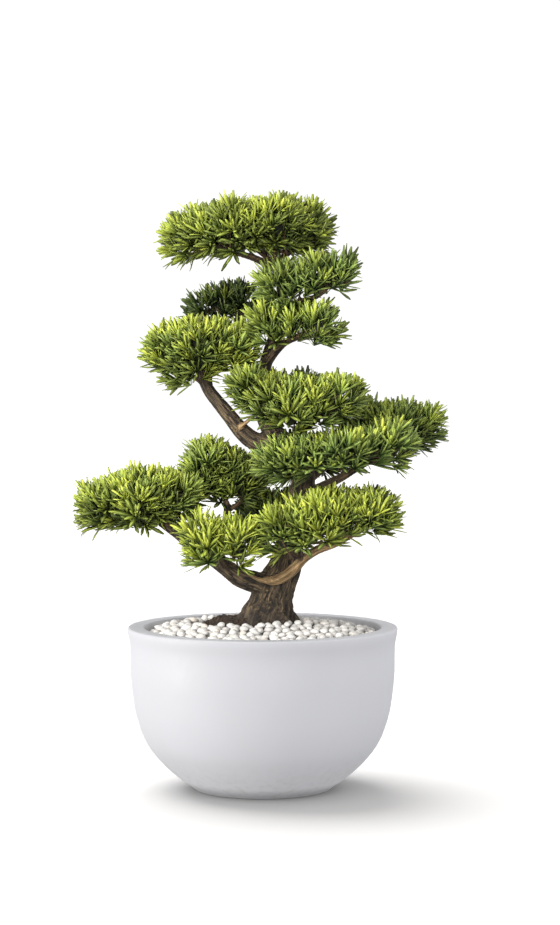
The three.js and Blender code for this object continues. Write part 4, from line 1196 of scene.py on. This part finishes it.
def pad_body(name, lobes, side, up, down, least, lumps, raised):
    """The lobes of a pad, drawn in at their sides, top and underside, and fused to one soft body.

    The underside is drawn in by `down` and `raised` together. No half size falls below the least one, and
    the lumps are the height of the noise. All are in millimetres.
    """
    build = bmesh.new()
    bridges = []
    for a, b in itertools.combinations(np.array(lobes, float), 2):
        apart, reach = abs(a[:2] - b[:2]), CLOSE_ENOUGH * (a[3:5] + b[3:5])
        if (apart < reach).all():
            bridges.append((a + b) / 2 * BRIDGE)
    for x, y, z, half_x, half_y, half_z in [*lobes, *bridges]:
        for vertex in bmesh.ops.create_icosphere(build, subdivisions=4, radius=1)["verts"]:
            rise = max(least, half_z - (up if vertex.co.z > 0 else down + raised))
            across, deep = max(least, half_x - side), max(least, half_y - side)
            spot = (x + vertex.co.x * across, y + vertex.co.y * deep, z + vertex.co.z * rise)
            vertex.co = Vector(spot) * MM
    mesh = bpy.data.meshes.new(name)
    build.to_mesh(mesh)
    build.free()
    holder = new_object(name, mesh)
    even = holder.modifiers.new("even", "REMESH")
    even.mode = "VOXEL"
    even.voxel_size = GROUND_VOXEL
    soften = holder.modifiers.new("soften", "SMOOTH")
    soften.iterations = 5
    body = plain_mesh(holder)
    for vertex in body.vertices:
        vertex.co += vertex.normal * noise.noise(vertex.co * 24) * lumps * MM
    body.update()
    return body


print("sides drawn in by", GROUND["side"], "mm for the ground and", HEART["side"], "mm for the heart")

# %% [markdown]
# One tree of nodes makes every pad. Its first job is a leaf: a slim three-sided rod whose rings are pushed
# into the outline of a strap leaf, widest past its middle, with a blunt tip and a slight bend. A leaf must
# stay this simple, because there are more than twenty thousand of them.

# %% Leaf shapes
pad_graph = NodeSet(
    "Leaf pad",
    Rosette_spacing=0.0190,
    Inner_spacing=0.0150,
    Leaf_length=0.039,
    Leaf_width=0.0072,
    Shoot_height=0.010,
    Shade=0.0,
    Youth=0.5,
    Olive=0.5,
    Seed=1,
    Inner="NodeSocketObject",
    Wood="NodeSocketObject",
)
LEAF_RINGS = 4
LEAF_POINTS = 3 * LEAF_RINGS
LEAF_BENDS = (-0.005, 0.001, 0.006)
HALF_SIDE = 0.866


def thin_rod(graph, segments):
    """A three-sided rod of radius 1 and height 1, along Z and round the origin."""
    sizes = {"Vertices": 3, "Side Segments": segments, "Radius": 1.0, "Depth": 1.0}
    return graph.add("GeometryNodeMeshCylinder", {"fill_type": "NGON"}, sizes)["Mesh"]


def leaf_blade(graph, bend):
    """One leaf along +Z with its upper face towards -X."""
    rod = thin_rod(graph, LEAF_RINGS - 1)
    x, y, z = graph.parts(graph.here())
    even = z + 0.5
    t = even * (1.3 - even * 0.3)
    across = y / HALF_SIDE
    rod = graph.store(rod, "leaf_along", t)
    rod = graph.store(rod, "leaf_across", across)
    wide = ((t**1.4) * 0.76 + 0.11).math("MULTIPLY", math.pi).math("SINE")
    new_y = across * wide * graph["Leaf width"] * 0.5
    new_x = x * wide * graph["Leaf width"] * 0.14 + t * t * bend
    shaped = graph.move(rod, graph.vector(new_x, new_y, t * graph["Leaf length"]))
    return graph.add("GeometryNodeGeometryToInstance", {}, {"Geometry": shaped})[0]


blades = pad_graph.join(*[leaf_blade(pad_graph, bend) for bend in LEAF_BENDS])
print("leaf shapes ready, points in a leaf:", LEAF_POINTS)

# %% [markdown]
# Shoots are scattered over the ground with a least distance between them, as each needs its own light, and
# fewer hang below. A shoot grows out from the ground, away from the pad's middle and up, and strays a
# little. Those below are older than those on top and get painted shade.

# %% Shoots
FAN_SHARE = 0.85
OUT_SHARE = 0.7


def pad_box(graph):
    """The lowest corner and the middle of the pad's ground."""
    box = graph.add("GeometryNodeBoundBox", {}, {"Geometry": graph["Geometry"]})
    return box["Min"], graph.scaled(graph.plus(box["Min"], box["Max"]), 0.5)


def place_shoots(graph, surface, spacing, seed, sunk):
    """Points on a surface with the direction, size and age of a shoot on each."""
    normal_z = graph.parts(graph.add("GeometryNodeInputNormal")["Normal"])[2]
    spread = graph.add("GeometryNodeDistributePointsOnFaces", {"distribute_method": "POISSON"}, {
        "Mesh": surface,
        "Distance Min": spacing,
        "Density Max": 9000.0,
        "Density Factor": normal_z.ramp(-0.95, -0.3, 0.75, 1.0),
        "Seed": graph["Seed"] + seed,
    })
    spots = graph.store(spread["Points"], "spot_normal", spread["Normal"], kind="FLOAT_VECTOR")
    out = graph.named("spot_normal", "FLOAT_VECTOR")
    out_z = graph.parts(out)[2]
    lowest, middle = pad_box(graph)
    aside_x, aside_y, _ = graph.parts(graph.minus(graph.here(), middle))
    height = graph.parts(graph.minus(graph.here(), lowest))[2]
    fan = graph.vector(aside_x * 0.5, aside_y * 0.5, height * 1.2 + 0.008)
    fan = graph.scaled(graph.vectors("NORMALIZE", fan)["Vector"], FAN_SHARE)
    stray = graph.random((-0.22, -0.22, -0.1), (0.22, 0.22, 0.18), seed + 1, "FLOAT_VECTOR")
    grow = graph.plus(graph.plus(graph.scaled(out, OUT_SHARE), fan), stray)
    spots = graph.store(spots, "grow", graph.vectors("NORMALIZE", grow)["Vector"], kind="FLOAT_VECTOR")
    spots = graph.store(spots, "spin", graph.random(0.0, 6.28, seed + 2))
    spots = graph.store(spots, "shoot_size", graph.random(0.82, 1.12, seed + 3))
    tone = graph.random(-0.35, 0.35, seed + 4) + graph["Olive"]
    spots = graph.store(spots, "leaf_tone", tone.ramp(0.0, 1.0))
    chance = graph.random(-0.42, 0.42, seed + 5)
    young = out_z.ramp(-0.3, 0.9, -0.35, 0.22) + chance + graph["Youth"]
    spots = graph.store(spots, "shoot_youth", young)
    # Shoots that face down get painted shade.
    spots = graph.store(spots, "shoot_deep", out_z.ramp(-0.9, 0.0, 0.35, 0.0))
    sink = graph.random(-sunk, 0.001, seed + 6)
    return graph.move(spots, graph.plus(graph.here(), graph.scaled(out, sink)))


inner_body = pad_graph.add("GeometryNodeObjectInfo", {}, {"Object": pad_graph["Inner"]})["Geometry"]
outer_spots = place_shoots(pad_graph, pad_graph["Geometry"], pad_graph["Rosette spacing"], 10, sunk=0.010)
inner_spots = place_shoots(pad_graph, inner_body, pad_graph["Inner spacing"], 30, sunk=0.002)
print("shoot nodes:", len(pad_graph.tree.nodes))

# %% [markdown]
# The leaves of a rosette follow each other round the shoot by the golden angle, so none lies over the one
# before it. The first ones stand up in the middle, short and young, and each later one leans out further.
# All of them turn a little up to the light.

# %% Rosettes
GOLDEN_ANGLE = math.pi * (3 - math.sqrt(5))
LEAVES = 14
INNER_LEAVES = 8


def leaf_rosettes(graph, spots, count, seed, darker):
    """Puts a rosette of leaves on each shoot."""
    amount = {"Geometry": spots, "Amount": count}
    copies = graph.add("GeometryNodeDuplicateElements", {"domain": "POINT"}, amount)
    leaves = graph.store(copies["Geometry"], "rank", copies["Duplicate Index"] / count)
    rank = graph.named("rank")
    grow = graph.named("grow", "FLOAT_VECTOR")
    height = (1 - rank) * graph["Shoot height"]
    leaves = graph.move(leaves, graph.plus(graph.here(), graph.scaled(grow, height)))
    around = graph.named("spin") + rank * (count * GOLDEN_ANGLE) + graph.random(-0.3, 0.3, seed)
    lean = (rank**0.8) * 0.90 + 0.10 + graph.random(-0.14, 0.14, seed + 1)
    turned = graph.turned(graph.point_along(grow), 0.0, 0.0, around)
    turned = graph.turned(turned, 0.0, lean, 0.0)
    turned = graph.point_along((0.0, 0.0, 1.0), Rotation=turned, Factor=0.12)
    size = graph.named("shoot_size") * rank.ramp(0.0, 0.4, 0.62, 1.0) * graph.random(0.82, 1.1, seed + 2)
    crowd = graph.add("GeometryNodeInstanceOnPoints", {}, {
        "Points": leaves,
        "Instance": blades,
        "Pick Instance": True,
        "Instance Index": graph.random(0, 2, seed + 3, "INT"),
        "Rotation": turned,
        "Scale": graph.vector(size, size, size),
    })["Instances"]
    young = graph.named("shoot_youth") + (0.5 - graph.named("rank")) * 0.7 - darker
    crowd = graph.store(crowd, "leaf_youth", young.ramp(0.0, 1.0), "INSTANCE")
    crowd = graph.store(crowd, "leaf_luck", graph.random(0.0, 1.0, seed + 4), "INSTANCE")
    # Painted shade from low shoots, the pad's Shade and the inner leaves' darker share.
    deep = graph.named("shoot_deep") + graph["Shade"] + darker
    crowd = graph.store(crowd, "leaf_deep", deep, "INSTANCE")
    crowd = graph.add("GeometryNodeRealizeInstances", {}, {"Geometry": crowd})["Geometry"]
    return graph.paint(crowd, leaf_material)


outer_leaves = leaf_rosettes(pad_graph, outer_spots, LEAVES, 50, darker=0.0)
inner_leaves = leaf_rosettes(pad_graph, inner_spots, INNER_LEAVES, 60, darker=0.5)
print("rosette nodes:", len(pad_graph.tree.nodes))

# %% [markdown]
# Each rosette needs a twig that carries it. The nearest point of the wood, seen from a place between the
# rosette and the pad's middle, is where its twig starts, so the twigs sweep outwards from the branch. The
# shoots on the sides and the underside get one, where twigs show, and three in ten of those on top. The
# numbers for a twig's thickness are shares of its length. A small dark body stands for the shaded heart
# of the pad, where single leaves are never seen.

# %% Twigs and heart
TWIG_SEGMENTS = 4
TWIG_THICK, TWIG_THIN = 0.022, 0.010
TOP_FROM = 0.3
TOP_SHARE = 0.3
HEART_SUNK = 0.005
x, y, z = pad_graph.parts(pad_graph.here())
t = z + 0.5
taper = TWIG_THICK - t * (TWIG_THICK - TWIG_THIN)
sag = t * (1 - t)
twig = pad_graph.vector(x * taper + sag * 0.36, y * taper + sag * 0.12, t)
twig = pad_graph.move(thin_rod(pad_graph, TWIG_SEGMENTS), twig)
here = pad_graph.here()
low = pad_graph.parts(pad_graph.named("spot_normal", "FLOAT_VECTOR"))[2].math("LESS_THAN", TOP_FROM)
some = pad_graph.random(0.0, 1.0, 70).math("LESS_THAN", TOP_SHARE)
carried = pad_graph.add("GeometryNodeSeparateGeometry", {"domain": "POINT"}, {
    "Geometry": outer_spots, "Selection": low.math("MAXIMUM", some),
})["Selection"]
halfway = {"Factor": 0.5, "A": here, "B": pad_box(pad_graph)[1]}
between = pad_graph.add("ShaderNodeMix", {"data_type": "VECTOR"}, halfway)["Result"]
wood_info = pad_graph.add("GeometryNodeObjectInfo", {}, {"Object": pad_graph["Wood"]})["Geometry"]
start = pad_graph.add("GeometryNodeProximity", {"target_element": "FACES"}, {
    "Geometry": wood_info, "Sample Position": between,
})["Position"]
carried = pad_graph.store(carried, "twig_start", start, kind="FLOAT_VECTOR")
start = pad_graph.named("twig_start", "FLOAT_VECTOR")
carried = pad_graph.store(carried, "twig_span", pad_graph.minus(here, start), kind="FLOAT_VECTOR")
carried = pad_graph.move(carried, start)
span = pad_graph.named("twig_span", "FLOAT_VECTOR")
reach = pad_graph.vectors("LENGTH", span)["Value"]
aim = pad_graph.turned(pad_graph.point_along(span), 0.0, 0.0, pad_graph.random(0.0, 6.28, 71))
twigs = pad_graph.add("GeometryNodeInstanceOnPoints", {}, {
    "Points": carried, "Instance": twig, "Rotation": aim, "Scale": pad_graph.vector(reach, reach, reach),
})["Instances"]
twigs = pad_graph.add("GeometryNodeRealizeInstances", {}, {"Geometry": twigs})["Geometry"]
twigs = pad_graph.paint(twigs, twig_material)
normal = pad_graph.add("GeometryNodeInputNormal")["Normal"]
heart = pad_graph.move(inner_body, pad_graph.plus(here, pad_graph.scaled(normal, -HEART_SUNK)))
heart = pad_graph.paint(heart, shade_material)
pad_graph.finish(pad_graph.join(outer_leaves, inner_leaves, twigs, heart))
print("leaf pad nodes:", len(pad_graph.tree.nodes))

# %% [markdown]
# A leaf here and there grows past the solid's box. The box is the real size of the pad, so a leaf that is
# out by more than a centimetre, or past the box of the whole tree, is moved back as a whole, which keeps
# its shape. Each pad then becomes a plain mesh of its own, with its own seed, tints and heart.

# %% Grow the pads
PAD_ROOM = 0.010


def keep_inside(mesh, low, high):
    """Moves each leaf that pokes out of a box back. Returns how many moved and how many there are."""
    places = point_places(mesh)
    widths = np.zeros(len(mesh.vertices), np.float32)
    mesh.attributes["leaf_across"].data.foreach_get("value", widths)
    rows = np.flatnonzero(widths)
    first, last = rows[0] - 1, rows[-1] + 1
    leaves = places[first:last].reshape(-1, LEAF_POINTS, 3)
    low = np.maximum(np.array(low) - PAD_ROOM, solid_low)
    high = np.minimum(np.array(high) + PAD_ROOM, solid_high)
    lift = np.clip(low - leaves.min(1), 0, None)
    drop = np.clip(leaves.max(1) - high, 0, None)
    leaves += (lift - drop)[:, None, :]
    mesh.vertices.foreach_set("co", places.ravel())
    mesh.update()
    return int(((lift + drop).max(1) > 0).sum()), len(leaves)


leaf_total = 0
face_total = 0
for number, (name, pad) in enumerate(PADS.items()):
    ground = pad_body(name + "_ground", pad["lobes"], **GROUND, raised=pad["raised"])
    inner_mesh = pad_body(name + "_inner", pad["lobes"], **HEART, raised=pad["raised"])
    inner = new_object(name + "_inner", inner_mesh)
    piece = apply_nodes(
        name + "_leaves", ground, pad_graph, Seed=number * 3 + 5, Inner=inner, Wood=wood_piece,
        Youth=pad["youth"], Olive=pad["olive"], Shade=pad["shade"],
    )
    bpy.data.objects.remove(inner)
    moved, leaf_count = keep_inside(piece.data, *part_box(name))
    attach(piece, "root")
    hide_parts(name)
    leaf_total += leaf_count
    face_total += len(piece.data.polygons)
    print(name, "leaves", leaf_count, "moved", moved, "faces", len(piece.data.polygons))
print("leaves:", leaf_total, "faces in all pads:", face_total)

# %% [markdown]
# The last cell prints the box of the solids.

# %% Sizes
print("solids", [round(v, 4) for v in (*solid_low, *solid_high)])
